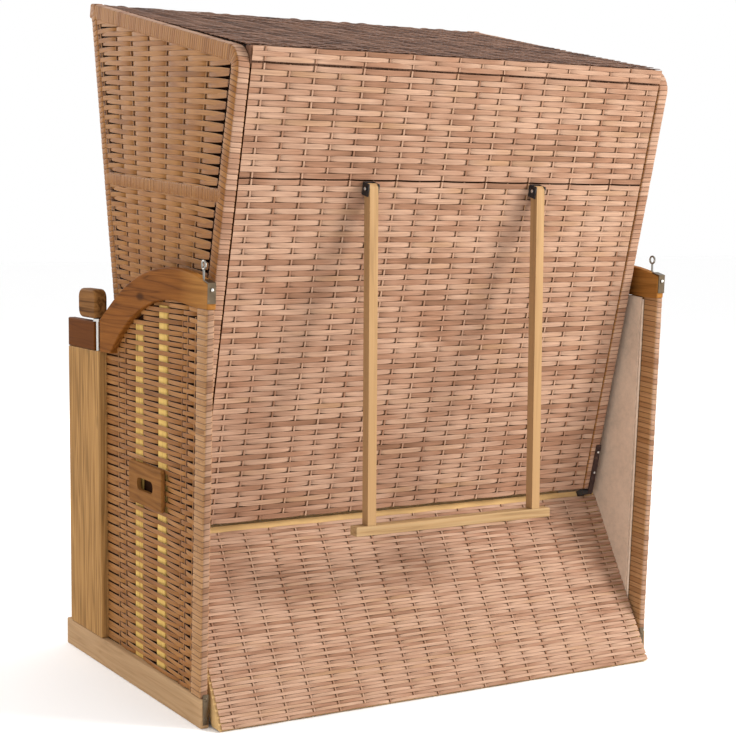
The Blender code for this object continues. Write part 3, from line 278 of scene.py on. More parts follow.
def even_stakes(patch, spacing, radius):
    """Round stakes evenly spaced along a patch, as (share along it, half width as a share, thickness)."""
    count = max(round(patch.length / spacing), 2)
    return [((number + 0.5) / count, 0.0, 2 * radius) for number in range(count)]


def dive_share(step, bow):
    """Share of its dive that a strand has made, from the stake it passes over (0) to the next one (1)."""
    return bow * step**BOW_POWER + (1 - bow) * step**PLUNGE_POWER


def strand_route(stakes, first_over, thick, bow):
    """Places along a patch, and depths below it, of a strand that passes over and behind stakes in turn."""
    before = min(2 * stakes[0][0] - stakes[1][0], -OVERHANG)
    after = max(2 * stakes[-1][0] - stakes[-2][0], 1 + OVERHANG)
    around = [(before, 0.0, stakes[0][2]), *stakes, (after, 0.0, stakes[-1][2])]
    places, depths = [], []
    for number in range(len(around) - 1):
        (here, here_half, here_thick), (there, there_half, there_thick) = around[number], around[number + 1]
        over = (number % 2 == 0) == first_over
        start, end = here + here_half, there - there_half
        buried = (there_thick if over else here_thick) + thick
        for step in (*STEPS, 1.0):
            x = step if over else 1 - step
            places.append(start + (end - start) * x)
            depths.append(thick / 2 + buried * dive_share(step, bow))
    order = np.argsort(places, kind="stable")
    places, depths = np.array(places)[order], np.array(depths)[order]
    keep = np.concatenate(([True], np.diff(places) > 1e-6)) & (places > 0) & (places < 1)
    places = np.concatenate(([0.0], places[keep], [1.0]))
    return places, np.concatenate((depths[keep][:1], depths[keep], depths[keep][-1:]))


def runs_inside(held):
    """The stretches of a line's points that are held, as arrays of indices."""
    cuts = np.flatnonzero(np.diff(held.astype(int))) + 1
    return [run for run in np.split(np.arange(len(held)), cuts) if len(run) > 1 and held[run[0]]]


def weave(name, body, patch, material, slot, replaced, row, stakes, width, thick, seed,
          inside=None, pinch=0.0, wander=0.0006, uneven=0.05, bow=BOW):
    """Plain weave on a patch: flat strands along it that pass over and behind stakes."""
    generator = random.Random(seed)
    rows = max(round(patch.height / row), 2)
    slow, quick = ripple(generator, *SLOW_WAVES), ripple(generator, *QUICK_WAVES)
    tubes = Tubes(STRAND_SECTION)

    def lay(centres, across, half, thickness, tint):
        held = inside(centres) if inside else np.full(len(centres), True)
        for run in runs_inside(held):
            tubes.add(centres[run], across, patch.out, half[run], thickness, tint)

    for number in range(rows):
        s, depth = strand_route(stakes, number % 2 == 0, thick, bow)
        t = (number + 0.5) / rows + wave_at(slow, s, number / rows) * wander / patch.height
        edge = np.exp(-np.minimum(s, 1 - s) * patch.length / PINCH_REACH)
        t = t + edge * pinch * (1 if number % 2 == 0 else -1) / rows
        t = t + generator.uniform(-0.25, 0.25) * wander / patch.height
        out = wave_at(quick, s, number / rows) * wander * 0.5 - depth
        centres = patch.at(s, t) + patch.out * out[:, None]
        buried = (depth - thick / 2) / max(depth.max() - thick / 2, 1e-6)
        half = width / 2 * generator.uniform(1 - uneven, 1 + uneven) * (1 - NARROWING * buried)
        lay(centres, patch.up, half, thick / 2, (generator.random() + number % 2) / 2)
    t = np.linspace(0, 1, STAKE_STEPS + 1)
    for share, half_share, thickness in stakes:
        if half_share:
            continue
        s = np.full(len(t), share)
        centres = patch.at(s, t) - patch.out * (thickness / 2 + thick)
        centres = centres + patch.along * (wave_at(quick, s, t * 0.4) * wander)[:, None]
        lay(centres, patch.along, np.full(len(t), thickness / 2), thickness / 2, generator.random())
    return piece(name, tubes.mesh(name), body, material, slot, *replaced)


# Wrapped bars


class Route:
    """A line of points with a way out of its bar at each, read by distance along it."""

    def __init__(self, points, outs):
        self.points, self.outs = np.array(points, float), np.array(outs, float)
        self.run = np.concatenate(([0], np.cumsum(np.linalg.norm(np.diff(self.points, axis=0), axis=1))))
        self.length = self.run[-1]

    def at(self, s):
        place = np.stack([np.interp(s, self.run, self.points[:, k]) for k in range(3)], axis=-1)
        out = np.stack([np.interp(s, self.run, self.outs[:, k]) for k in range(3)], axis=-1)
        return place, out / np.linalg.norm(out, axis=-1, keepdims=True)


def straight(start, end, out):
    return Route([start, end], [out, out])


def bent(start, first, second, end, radius, steps=8):
    """A route in the side view along the face first, round a corner and along the face second."""
    corner = first.meet(second)
    into, away = unit(corner - start), unit(end - corner)
    turn = into.angle(away)
    back = radius * math.tan(turn / 2)
    points, outs = [start], [first.out]
    middle = corner - into * back - first.out * radius
    for step in range(steps + 1):
        out = first.out.slerp(second.out, step / steps)
        points.append(middle + out * radius)
        outs.append(out)
    return Route([*points, end], [*outs, second.out])


def bar_section(corner_steps=3):
    """Corner signs and unit offsets round a bar's rounded section, from the middle of its inner side."""
    columns = []
    for quarter, signs in enumerate(((1, 1), (-1, 1), (-1, -1), (1, -1))):
        for step in range(corner_steps + 1):
            angle = (quarter + step / corner_steps) * math.pi / 2
            columns.append((*signs, math.cos(angle), math.sin(angle)))
    return np.array(columns)


def wrap(bars, route, across, width, depth, seed, pitch=WRAP_PITCH, corner=0.005, relief=0.0009, grouping=0.0,
         phases=WRAP_PHASES, heights=WRAP_HEIGHTS):
    """A bar along a route, wound with flat strand. Width runs along across, and depth inwards."""
    generator = random.Random(seed)
    count = max(round(route.length / pitch), 2)
    steps = [1 + grouping * generator.uniform(-1, 1) for _ in range(count + 2)]
    starts = np.cumsum([-steps[0], *steps[:-1]]) * route.length / count
    starts = np.concatenate((starts, [starts[-1] + steps[-1] * route.length / count]))
    bulge = np.array([generator.uniform(-0.3, 0.3) * relief for _ in range(len(starts))])
    tints = np.array([generator.random() for _ in range(len(starts))])
    columns = bar_section()
    m = len(columns)
    phases, heights = np.array(phases), np.array(heights)
    pitches = np.diff(starts)
    bands = len(pitches) - 1
    share = np.arange(m + 1) / m
    first = starts[:-2, None] + phases * pitches[:-1, None]
    after = starts[1:-1, None] + phases * pitches[1:, None]
    s = first[..., None] * (1 - share) + after[..., None] * share
    held = np.clip(s, 0, route.length)
    high = (heights[:, None] - 1) * relief
    high = high + bulge[:bands, None, None] * (1 - share) + bulge[1:bands + 1, None, None] * share
    high = np.where(s == held, high, -relief)
    place, out = route.at(held)
    across = np.array(unit(across))
    column = columns[np.arange(m + 1) % m]
    a = column[:, 0] * (width / 2 - corner) + column[:, 2] * (corner + high)
    b = column[:, 1] * (depth / 2 - corner) + column[:, 3] * (corner + high)
    points = place + across * a[..., None] + out * (b - depth / 2)[..., None]
    round_way = share * 2 * (width + depth)
    marks = np.stack(np.broadcast_arrays(
        round_way + 0 * s, (phases * 2 - 1)[:, None] + 0 * s, tints[:bands, None, None] + 0 * s), axis=-1)
    rings = bands * len(phases)
    bars.append((points.reshape(-1, 3), grid_quads(rings, m + 1, False), marks.reshape(-1, 3)))


def bars_piece(name, bars, body, material, slot, *replaced):
    """One piece of several wrapped bars."""
    points, quads, marks = zip(*bars)
    counts = np.cumsum([0, *(len(bar) for bar in points)])
    quads = [bar + count for bar, count in zip(quads, counts)]
    mesh = mesh_from(name, np.concatenate(points), np.concatenate(quads), np.concatenate(marks), STRAND_SHARP)
    return piece(name, mesh, body, material, slot, *replaced)


# Materials


class Paint:
    """A material in the making, with short ways to add the shader nodes that colour it."""

    def __init__(self, name, roughness, **constants):
        self.made = bpy.data.materials.new(name)
        self.made.use_nodes = True
        self.tree = self.made.node_tree
        self.shader = self.tree.nodes["Principled BSDF"].inputs
        for key, value in {"Roughness": roughness, **constants}.items():
            self.shader[key.replace("_", " ")].default_value = value

    def node(self, kind, inputs=(), **settings):
        """A shader node with its settings, and its inputs set or linked by name or number."""
        made = self.tree.nodes.new(f"ShaderNode{kind}")
        for key, value in settings.items():
            setattr(made, key, value)
        for key, value in dict(inputs).items():
            if isinstance(value, bpy.types.NodeSocket):
                self.tree.links.new(value, made.inputs[key])
            else:
                made.inputs[key].default_value = value
        return made

    def where(self, kind="Object"):
        return self.node("TexCoord").outputs[kind]

    def mapped(self, scale=(1.0, 1.0, 1.0), turn=(0.0, 0.0, 0.0)):
        """Object coordinates, stretched and turned."""
        return self.node("Mapping", {"Vector": self.where(), "Scale": scale, "Rotation": turn}).outputs[0]

    def noise(self, vector, scale, detail, **more):
        return self.node("TexNoise", {"Vector": vector, "Scale": scale, "Detail": detail, **more}).outputs[0]

    def math(self, operation, a, b=0.0):
        return self.node("Math", {0: a, 1: b}, operation=operation).outputs[0]

    def times(self, a, b):
        return self.math("MULTIPLY", a, b)

    def plus(self, *parts):
        return functools.reduce(lambda a, b: self.math("ADD", a, b), parts)

    def ranged(self, value, start, end, low=0.0, high=1.0):
        """A value taken from start to end onto low to high."""
        return self.node("MapRange", {0: value, 1: start, 2: end, 3: low, 4: high}).outputs[0]

    def vector(self, *parts):
        return self.node("CombineXYZ", dict(enumerate(parts))).outputs[0]

    def sideways(self):
        """How much a face looks to the left or the right, from 0 to 1."""
        return self.math("ABSOLUTE", self.node("SeparateXYZ", {0: self.where("Normal")}).outputs[0])

    def ramp(self, factor, stops):
        made = self.node("ValToRGB", {"Fac": factor})
        elements = made.color_ramp.elements
        while len(elements) < len(stops):
            elements.new(1.0)
        for element, (place, colour) in zip(elements, stops):
            element.position = place
            element.color = (*colour, 1)
        return made.outputs["Color"]

    def mixed(self, factor, a, b, blend="MIX"):
        a, b = (value if isinstance(value, bpy.types.NodeSocket) else (*value, 1) for value in (a, b))
        return self.node("Mix", {0: factor, 6: a, 7: b}, data_type="RGBA", blend_type=blend).outputs[2]

    def multiplied(self, a, b):
        return self.mixed(1.0, a, b, "MULTIPLY")

    def done(self, colour, height, strength, distance):
        """The material, with its colour and its bump."""
        bump = self.node("Bump", {"Height": height, "Strength": strength, "Distance": distance})
        self.tree.links.new(colour, self.shader["Base Color"])
        self.tree.links.new(bump.outputs[0], self.shader["Normal"])
        return self.made


def grey(value):
    return (value,) * 3


def scaled(colour, share):
    return tuple(min(c * share, 1) for c in colour)


def srgb(red, green, blue):
    """A linear colour from 0 to 255 display values."""
    return tuple(((c / 255 + 0.055) / 1.055) ** 2.4 if c > 10 else c / 255 / 12.92 for c in (red, green, blue))


def wicker_material(name, tones, side_painted_light_tones, groove_shade=(0.86, 0.5)):
    """Flat plastic cane: each strand has its own tone and fine streaks along it, and faces that look sideways
    get painted light and shade, which makes them yellower.

    The groove setting gives the place across a strand where painted shade starts to darken its edge, and how
    dark it gets.
    """
    paint = Paint(name, 0.42, Specular_IOR_Level=0.03)
    strand = paint.node("Attribute", attribute_name="strand").outputs["Vector"]
    run, across, tint = paint.node("SeparateXYZ", {0: strand}).outputs
    lane = paint.times(tint, 97.0)
    place = paint.vector(paint.times(run, 14.0), paint.times(across, 2.6), lane)
    streaks = paint.noise(place, 1.0, 3.0, Roughness=0.6)
    slow = paint.noise(paint.vector(paint.times(run, 5.0), lane, 0.0), 1.0, 2.0)
    broad = paint.noise(paint.where(), 2.2, 2.0)
    tone = paint.plus(paint.times(slow, 0.9), paint.times(tint, 0.25), paint.times(broad, 0.22))
    tone = paint.ranged(tone, 0.33, 0.98)
    colour, side_painted_light_colour = (
        paint.ramp(tone, [(i / (len(row) - 1), srgb(*shade)) for i, shade in enumerate(row)])
        for row in (tones, side_painted_light_tones)
    )
    # Faces that look sideways take the side tones: painted light and shade
    colour = paint.mixed(paint.ranged(paint.sideways(), 0.45, 0.85), colour, side_painted_light_colour)
    colour = paint.multiplied(colour, paint.ramp(streaks, [(0.25, grey(0.65)), (0.75, grey(1.14))]))
    start, depth = groove_shade
    # Painted shade: each strand darkens towards its edges, in the grooves between strands
    edge = paint.ranged(paint.math("ABSOLUTE", across), start, 1.0, 1.0, depth)
    colour = paint.multiplied(colour, paint.vector(edge, edge, edge))
    return paint.done(colour, streaks, 0.25, 0.0006)


def wood_material(name, tones, grain="Z", rings=1.0, calm=0.5, far=None, sides=None):
    """Planed and oiled wood, with its grain along one axis.

    Far is an axis's number, the places where its colour starts and is full, and that colour.
    Sides tints the faces that look sideways darker, as painted shade.
    """
    paint = Paint(name, 0.5, Specular_IOR_Level=0.012)

    def grained(along, over):
        return paint.mapped([along if axis == grain else over for axis in "XYZ"])

    lines = paint.noise(grained(1.6, 34.0), rings, 2.0, Distortion=0.25)
    lines = paint.math("PINGPONG", paint.times(lines, 5.0), 0.5)
    fine = paint.noise(grained(7.0, 260.0), 1.0, 4.0, Roughness=0.65)
    patchy = paint.noise(paint.where(), 5.0, 3.0)
    light, middle, dark = (srgb(*tone) for tone in tones)
    colour = paint.ramp(paint.times(lines, 2.0), [(0.0, dark), (0.22, middle), (1.0, light)])
    colour = paint.mixed(paint.ranged(patchy, 0.3, 0.7, calm * 0.3, calm), colour, middle)
    if far:
        axis, start, full, far_colour = far
        place = paint.node("SeparateXYZ", {0: paint.where()}).outputs[axis]
        share = paint.ranged(paint.plus(place, paint.times(patchy, 0.12)), start, full, 0.0, 0.9)
        share = paint.times(share, paint.plus(paint.times(lines, 0.8), 0.6))
        colour = paint.mixed(share, colour, srgb(*far_colour))
    if sides:
        # Painted shade on faces that look sideways
        colour = paint.mixed(paint.sideways(), colour, paint.multiplied(colour, sides))
    knots = paint.node("TexVoronoi", {"Vector": grained(4.0, 9.0), "Scale": 1.0, "Randomness": 1.0})
    knot = paint.ramp(knots.outputs["Distance"], [(0.05, grey(1)), (0.11, grey(0))])
    colour = paint.mixed(paint.times(knot, 0.7), colour, scaled(dark, 0.35))
    colour = paint.multiplied(colour, paint.ramp(fine, [(0.3, grey(0.74)), (0.62, grey(1.05))]))
    worn = paint.ranged(paint.node("NewGeometry").outputs["Pointiness"], 0.52, 0.60, 0.0, 0.7)
    return paint.done(paint.mixed(worn, colour, light), fine, 0.2, 0.0005)


def metal_material(name, colour, roughness, metallic=1.0):
    """Plated or lacquered iron, with blotches, fine scratches and a little rust."""
    paint = Paint(name, roughness, Metallic=metallic)
    blotch = paint.noise(paint.where(), 90.0, 4.0)
    rust = paint.ramp(blotch, [(0.66, grey(0)), (0.78, grey(1))])
    shade = paint.ramp(blotch, [(0.3, scaled(colour, 0.7)), (0.7, colour)])
    shade = paint.mixed(paint.times(rust, 0.5), shade, RUST)
    scratch = paint.noise(paint.mapped((900.0, 900.0, 60.0)), 1.0, 2.0)
    spread = paint.ranged(scratch, 0.0, 1.0, roughness - 0.1, roughness + 0.15)
    paint.tree.links.new(spread, paint.shader["Roughness"])
    return paint.done(shade, scratch, 0.15, 0.0002)


def cloth_material(name, tone, thread, painted_shade_side=None, sheen=0.25):
    """Plain woven cloth. A face that looks towards the given side is painted dark brown, as painted shade,
    since it lies behind a weave.
    """
    colour = srgb(*tone)
    paint = Paint(name, 0.9, Sheen_Weight=sheen, Sheen_Roughness=0.5, Specular_IOR_Level=0.1)
    threads = []
    for turn in ((0.0, 0.0, 0.0), (0.0, 0.0, math.pi / 2), (0.0, math.pi / 2, 0.0)):
        wave = {"Vector": paint.mapped(turn=turn), "Scale": 1 / thread / 3.2, "Distortion": 0.6, "Detail": 1.0}
        threads.append(paint.node("TexWave", {**wave, "Detail Scale": 2.0}).outputs["Fac"])
    height = paint.times(paint.plus(*threads), 0.4)
    slub = paint.noise(paint.where(), 60.0, 5.0, Roughness=0.7)
    mottle = paint.plus(paint.times(slub, 0.6), paint.times(paint.noise(paint.where(), 5.0, 2.0), 0.4))
    shade = paint.ramp(mottle, [(0.3, scaled(colour, 0.78)), (0.5, colour), (0.7, scaled(colour, 1.15))])
    # Painted shade in the hollows between threads
    shade = paint.multiplied(shade, paint.ramp(height, [(0.2, grey(0.8)), (0.8, grey(1.05))]))
    if painted_shade_side:
        # Faces that look towards that side get painted shade
        facing = paint.node("VectorMath", {0: paint.where("Normal"), 1: painted_shade_side}, operation="DOT_PRODUCT")
        shade = paint.mixed(paint.ranged(facing.outputs["Value"], 0.4, 0.6), shade, PAINTED_GAP_SHADE)
    return paint.done(shade, height, 0.35, 0.0004)


RUST = (0.30, 0.20, 0.12)
PAINTED_GAP_SHADE = srgb(52, 28, 14)  # painted shade for what lies behind a weave
CANE_TONES = (130, 94, 72), (156, 116, 92), (184, 148, 124), (168, 130, 100)
# Side tones: painted light and shade for the cane's faces that look sideways
SIDE_PAINTED_LIGHT_TONES = (124, 79, 40), (146, 96, 52), (162, 112, 64), (154, 105, 54)
POST_TONES = (120, 86, 64), (143, 106, 82), (168, 134, 110), (154, 118, 88)
# Post side tones: painted light and shade for the posts' faces that look sideways
POST_SIDE_PAINTED_LIGHT_TONES = (142, 100, 62), (164, 120, 80), (182, 138, 96), (172, 128, 82)
ROOF_TONES = (55, 35, 25), (89, 59, 43), (133, 97, 77), (73, 46, 34)
# Painted shade in the grooves of wound bars: where it starts across a turn, and how dark it gets
WOUND_GROOVE_SHADE = (0.78, 0.3)
WICKER = wicker_material("woven_cane", CANE_TONES, SIDE_PAINTED_LIGHT_TONES)
WOUND_CANE = wicker_material("wound_cane", CANE_TONES, SIDE_PAINTED_LIGHT_TONES, WOUND_GROOVE_SHADE)
POST_CANE = wicker_material("post_cane", POST_TONES, POST_SIDE_PAINTED_LIGHT_TONES, WOUND_GROOVE_SHADE)
ROOF_WICKER = wicker_material("weathered_cane", ROOF_TONES, ROOF_TONES)
WOOD_TONES = (178, 135, 83), (114, 77, 40), (58, 36, 17)  # light, middle and dark
SLAT_TONES = (228, 190, 112), (212, 172, 94), (184, 142, 72)
LEG_TONES = (178, 144, 104), (146, 108, 67), (90, 58, 30)
CROSSBAR_TONES = (172, 142, 104), (150, 114, 76), (96, 66, 38)
ARM_TONES = (139, 86, 36), (121, 71, 28), (81, 46, 18)
# Cap tones are darkened to match the cap's shaded face: they hold painted shade
CAP_TONES = (102, 57, 21), (87, 47, 17), (58, 30, 11)
GRIP_TONES = (138, 95, 53), (101, 65, 31), (57, 33, 16)
PLATE_TONES = (140, 94, 48), (112, 70, 33), (74, 44, 20)
PALE_TONES = (186, 150, 104), (168, 130, 84), (136, 98, 58)
RAIL_TONES = (182, 149, 112), (162, 127, 91), (132, 98, 64)
# Panel tones are lighter than the pale wood to make up for the hood's shade on the panel's frame: painted light
PANEL_TONES = (214, 176, 122), (196, 156, 102), (150, 110, 66)
SLAT_WOOD = wood_material("slat_wood", SLAT_TONES)
ARM_WOOD = wood_material("arm_wood", ARM_TONES, "Y", far=(1, 0.30, 0.44, (172, 122, 64)))
# The legs' sideways faces are painted darker: painted shade
LEG_WOOD = wood_material("leg_wood", LEG_TONES, rings=1.4, calm=0.2, far=(2, 1.10, 0.55, (124, 82, 38)),
                         sides=(0.70, 0.54, 0.34))
LEG_ACROSS = wood_material("leg_wood_across", CROSSBAR_TONES, "X", calm=0.2)
WOOD = wood_material("honey_wood", WOOD_TONES, rings=1.3, calm=0.0)
WOOD_ACROSS = wood_material("honey_wood_across", WOOD_TONES, "X")
CAP_WOOD = wood_material("cap_wood", CAP_TONES, "Y")
GRIP_WOOD = wood_material("grip_wood", GRIP_TONES, "Y", calm=0.2)
PLATE_WOOD = wood_material("plate_wood", PLATE_TONES, "Y", calm=0.2)
PALE_ACROSS = wood_material("pale_wood_across", PALE_TONES, "X")
RAIL_WOOD = wood_material("rail_wood", RAIL_TONES, "Y")
PANEL_WOOD = wood_material("panel_wood", PANEL_TONES, "X")
STEEL = metal_material("zinc_plate", (0.155, 0.115, 0.075), 0.36)
EYE_STEEL = metal_material("eye_steel", (0.34, 0.33, 0.30), 0.28)
BRIGHT_STEEL = metal_material("bright_steel", (0.72, 0.70, 0.66), 0.25)
BLACK_IRON = metal_material("black_lacquer", (0.025, 0.025, 0.027), 0.42, 0.3)
BROWN_IRON = metal_material("brown_lacquer", (0.040, 0.017, 0.013), 0.5, 0.2)
WEAVE_SIDES = {"left": (1, 0, 0), "right": (-1, 0, 0), "back": (0, 1, 0), "roof": (0, 0, 1)}
# Lining cloth; its faces that look out through a weave get painted shade
LINING = {
    key: cloth_material(f"lining_cloth_{key}", (212, 188, 166), 0.0011, way, 0.0)
    for key, way in WEAVE_SIDES.items()
}
CUSHION_CLOTH = cloth_material("cushion_cloth", (196, 180, 150), 0.0014)
PIPING_CLOTH = cloth_material("piping_cloth", (140, 116, 86), 0.0010)

# Camera, floor and light

FLOOR_REACH = 30.0
LIGHTS = (  # name, place, target, diameter, watts and colour
    ("key", (-3.8, 3.6, 3.2), (0, 0.3, 1.0), 2.2, 335, (1.0, 0.98, 0.95)),
    ("front_fill", (1.5, -5.0, 3.0), (0, 0, 0.8), 4.0, 160, (1.0, 0.98, 0.96)),
)


def make_camera():
    forward = Vector((
        -math.sin(CAMERA_YAW) * math.cos(CAMERA_PITCH),
        -math.cos(CAMERA_YAW) * math.cos(CAMERA_PITCH),
        -math.sin(CAMERA_PITCH),
    ))
    right = forward.cross(Vector((0, 0, 1))).normalized()
    up = right.cross(forward)
    cos, sin = math.cos(CAMERA_ROLL), math.sin(CAMERA_ROLL)
    across, high = right * cos + up * sin, up * cos - right * sin
    data = bpy.data.cameras.new("camera")
    data.lens, data.sensor_width, data.sensor_fit = CAMERA_LENS, CAMERA_SENSOR, "HORIZONTAL"
    camera = bpy.data.objects.new("camera", data)
    turn = Matrix((across, high, -forward)).transposed().to_4x4()
    camera.matrix_world = Matrix.Translation(CAMERA_PLACE) @ turn
    bpy.context.scene.collection.objects.link(camera)
    bpy.context.scene.camera = camera


def area_light(name, place, target, size, power, colour):
    data = bpy.data.lights.new(name, "AREA")
    data.shape, data.size, data.energy, data.color = "DISK", size, power, colour
    lamp = bpy.data.objects.new(name, data)
    aim = (Vector(target) - Vector(place)).to_track_quat("-Z", "Y")
    lamp.matrix_world = Matrix.Translation(place) @ aim.to_matrix().to_4x4()
    bpy.context.scene.collection.objects.link(lamp)


def make_studio():
    mesh = bpy.data.meshes.new("floor")
    corners = [(x * FLOOR_REACH, y * FLOOR_REACH, 0) for x, y in ((-1, -1), (1, -1), (1, 1), (-1, 1))]
    mesh.from_pydata(corners, [], [(0, 1, 2, 3)])
    floor = bpy.data.objects.new("floor", mesh)
    bpy.context.scene.collection.objects.link(floor)
    mesh.materials.append(Paint("floor_paint", 0.9, Base_Color=(0.99, 0.99, 0.99, 1)).made)
    world = bpy.data.worlds.new("studio")
    world.use_nodes = True
    world.node_tree.nodes["Background"].inputs["Color"].default_value = (1.0, 1.0, 1.0, 1)
    world.node_tree.nodes["Background"].inputs["Strength"].default_value = 1.0
    bpy.context.scene.world = world
    bpy.context.scene.view_settings.view_transform = "Standard"
    for light in LIGHTS:
        area_light(*light)


make_camera()
make_studio()

# Faces of the hood, seen from the side

UP_BACK = side_lean(BACK_LEAN)
OUT_BACK = Vector((0, math.cos(BACK_LEAN), -math.sin(BACK_LEAN)))
OUT_FRONT = Vector((0, -math.cos(FRONT_LEAN), -math.sin(FRONT_LEAN)))
OUT_ROOF = Vector((0, math.sin(ROOF_RISE), math.cos(ROOF_RISE)))
UP_ROOF = Vector((0, -math.cos(ROOF_RISE), math.sin(ROOF_RISE)))
OUT_MID = Vector((0, math.sin(MID_BAR_RISE), math.cos(MID_BAR_RISE)))
DOWN = Vector((0, 0, -1))
RIGHTWARD = Vector((-1, 0, 0))
BACK = face_of("left_hood_side_frame", OUT_BACK)
FRONT = face_of("left_hood_side_frame", OUT_FRONT)
ROOF = face_of("roof_frame", OUT_ROOF)
FOOT = face_of("left_hood_side_frame", DOWN)
HOOD_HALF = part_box("left_hood_side_frame")[1][0]
ROOF_THICK = 0.034
REAR_POST_WIDTH = 0.028
REAR_POST_DEPTH = 0.044
FRONT_POST_DEPTH = 0.032
SIDE_BAR_WIDTH = 0.022
SIDE_BAR_HEIGHT = 0.030
CORNER_RADIUS = 0.048
RIDGE = plane_of("left_hood_side_weave", (1, 0, 0))
MID_TOP = Face(OUT_MID, float((RIDGE @ np.array(OUT_MID)).max()))
SKIN_RECESS = 0.0015
SEAM = 0.0003
HIDDEN = 0.006  # how far strands run in under a bar

# Woven panels

HOOD_STRAND = dict(row=0.0123, width=0.0123, thick=0.0015, uneven=0.03)
HOOD_SIDE_STRAND = dict(row=0.0112, width=0.0115, thick=0.0014, uneven=0.02, bow=0.16, pinch=0.36)
PANEL_STRAND = dict(row=0.0075, width=0.0075, thick=0.0013, uneven=0.03, pinch=0.15)
ROOF_STRAND = dict(row=0.0123, width=0.0112, thick=0.0018, uneven=0.16, wander=0.0016, pinch=0.3)
BORDER_STRAND = dict(row=0.0112, width=0.0110, thick=0.0014, wander=0.0005)
WALL_STRAND = dict(row=0.0118, width=0.0100, thick=0.0016, pinch=0.2)
STAKE_RADIUS = 0.0023
STAKE_SPACING = 0.060
BACK_GAP = 0.0025  # dark gap between the back's weaves and the posts
ROOF_SEAM = 0.0022  # extra gap under the roof's border
SEAM_GAP = 0.0005  # at the seams above, between and below the back's weaves
for number, name in enumerate(("hood_lower_back_weave", "hood_upper_back_weave")):
    patch = patch_of(name, RIGHTWARD, UP_BACK, OUT_BACK).shrunk(BACK_GAP, SEAM_GAP)
    if number:
        share = 1 - ROOF_SEAM / patch.height
        patch.high_start, patch.high_end = patch.at(0, share), patch.at(1, share)
    weave(f"{name}_strands", "hood", patch, WICKER, "wicker", [name],
          stakes=even_stakes(patch, STAKE_SPACING, STAKE_RADIUS), seed=11 + number, **HOOD_STRAND)

STILE_SHOWN = 0.004  # how far the panel's weave ends short of its left edge
PANEL_UP = side_lean(-PANEL_LEAN)
PANEL_OUT = Vector((0, math.cos(PANEL_LEAN), math.sin(PANEL_LEAN)))
patch = patch_of("rear_panel_weave", RIGHTWARD, PANEL_UP, PANEL_OUT)
share = STILE_SHOWN / patch.length
patch.low_start, patch.high_start = patch.at(share, 0), patch.at(share, 1)
weave("rear_panel_strands", "base", patch, WICKER, "wicker", ["rear_panel_weave"],
      stakes=even_stakes(patch, 0.065, 0.0020), seed=21, **PANEL_STRAND)

BORDER_ROUND = 0.012  # how far the roof's weave ends short of its rear edge
FRONT_BAR_SHOWN = 0.020
BORDER_TURN = 0.0018  # how far the border's upper edge turns in
reach = HOOD_HALF - REAR_POST_WIDTH + HIDDEN
rear, front = BACK.inside(BORDER_ROUND), FRONT.inside(FRONT_BAR_SHOWN)
corners = [rear.meet(ROOF, reach), rear.meet(ROOF, -reach), front.meet(ROOF, -reach), front.meet(ROOF, reach)]
patch = Patch(corners, OUT_ROOF)
weave("roof_strands", "hood", patch, ROOF_WICKER, "roof_wicker", ["roof_weave"],
      stakes=even_stakes(patch, STAKE_SPACING, 0.0030), seed=31, **ROOF_STRAND)

reach = HOOD_HALF - REAR_POST_WIDTH - BACK_GAP / 2
low, high = ROOF.inside(ROOF_THICK - 0.0015), ROOF.inside(0.003)
turned = BACK.inside(BORDER_TURN)
corners = [BACK.meet(low, reach), BACK.meet(low, -reach), turned.meet(high, -reach), turned.meet(high, reach)]
patch = Patch(corners, OUT_BACK)
weave("roof_rear_border", "hood", patch, WICKER, "wicker", [],
      stakes=even_stakes(patch, STAKE_SPACING, 0.0018), seed=32, **BORDER_STRAND)

SIDE_PATCH_LOW, SIDE_PATCH_HIGH = 0.78, 0.36  # reach of a hood side's patch below and above its middle bar
SIDE_STAKE_SHARES = (0.16, 0.31, 0.455, 0.60, 0.735, 0.86, 0.985)
for side, s in SIDES:
    x = s * (HOOD_HALF - SKIN_RECESS)
    rear, front = BACK.inside(REAR_POST_DEPTH), FRONT.inside(FRONT_POST_DEPTH)
    low, high = MID_TOP.inside(SIDE_PATCH_LOW), MID_TOP.inside(-SIDE_PATCH_HIGH)
    corners = [rear.meet(low, x), front.meet(low, x), front.meet(high, x), rear.meet(high, x)]
    patch = Patch(corners, (s, 0, 0))

    def inside(points):
        under_roof = ROOF.depth(points) > ROOF_THICK - HIDDEN
        over_foot = FOOT.depth(points) > SIDE_BAR_HEIGHT - HIDDEN
        below_mid = MID_TOP.depth(points) > SIDE_BAR_HEIGHT - HIDDEN
        above_mid = MID_TOP.depth(points) < HIDDEN
        return under_roof & over_foot & (below_mid | above_mid)

    weave(f"{side}_hood_side_strands", "hood", patch, WICKER, "wicker", [f"{side}_hood_side_weave"],
          stakes=[(share, 0.0, 2 * STAKE_RADIUS) for share in SIDE_STAKE_SHARES], seed=41, inside=inside,
          **HOOD_SIDE_STRAND)

# Base walls

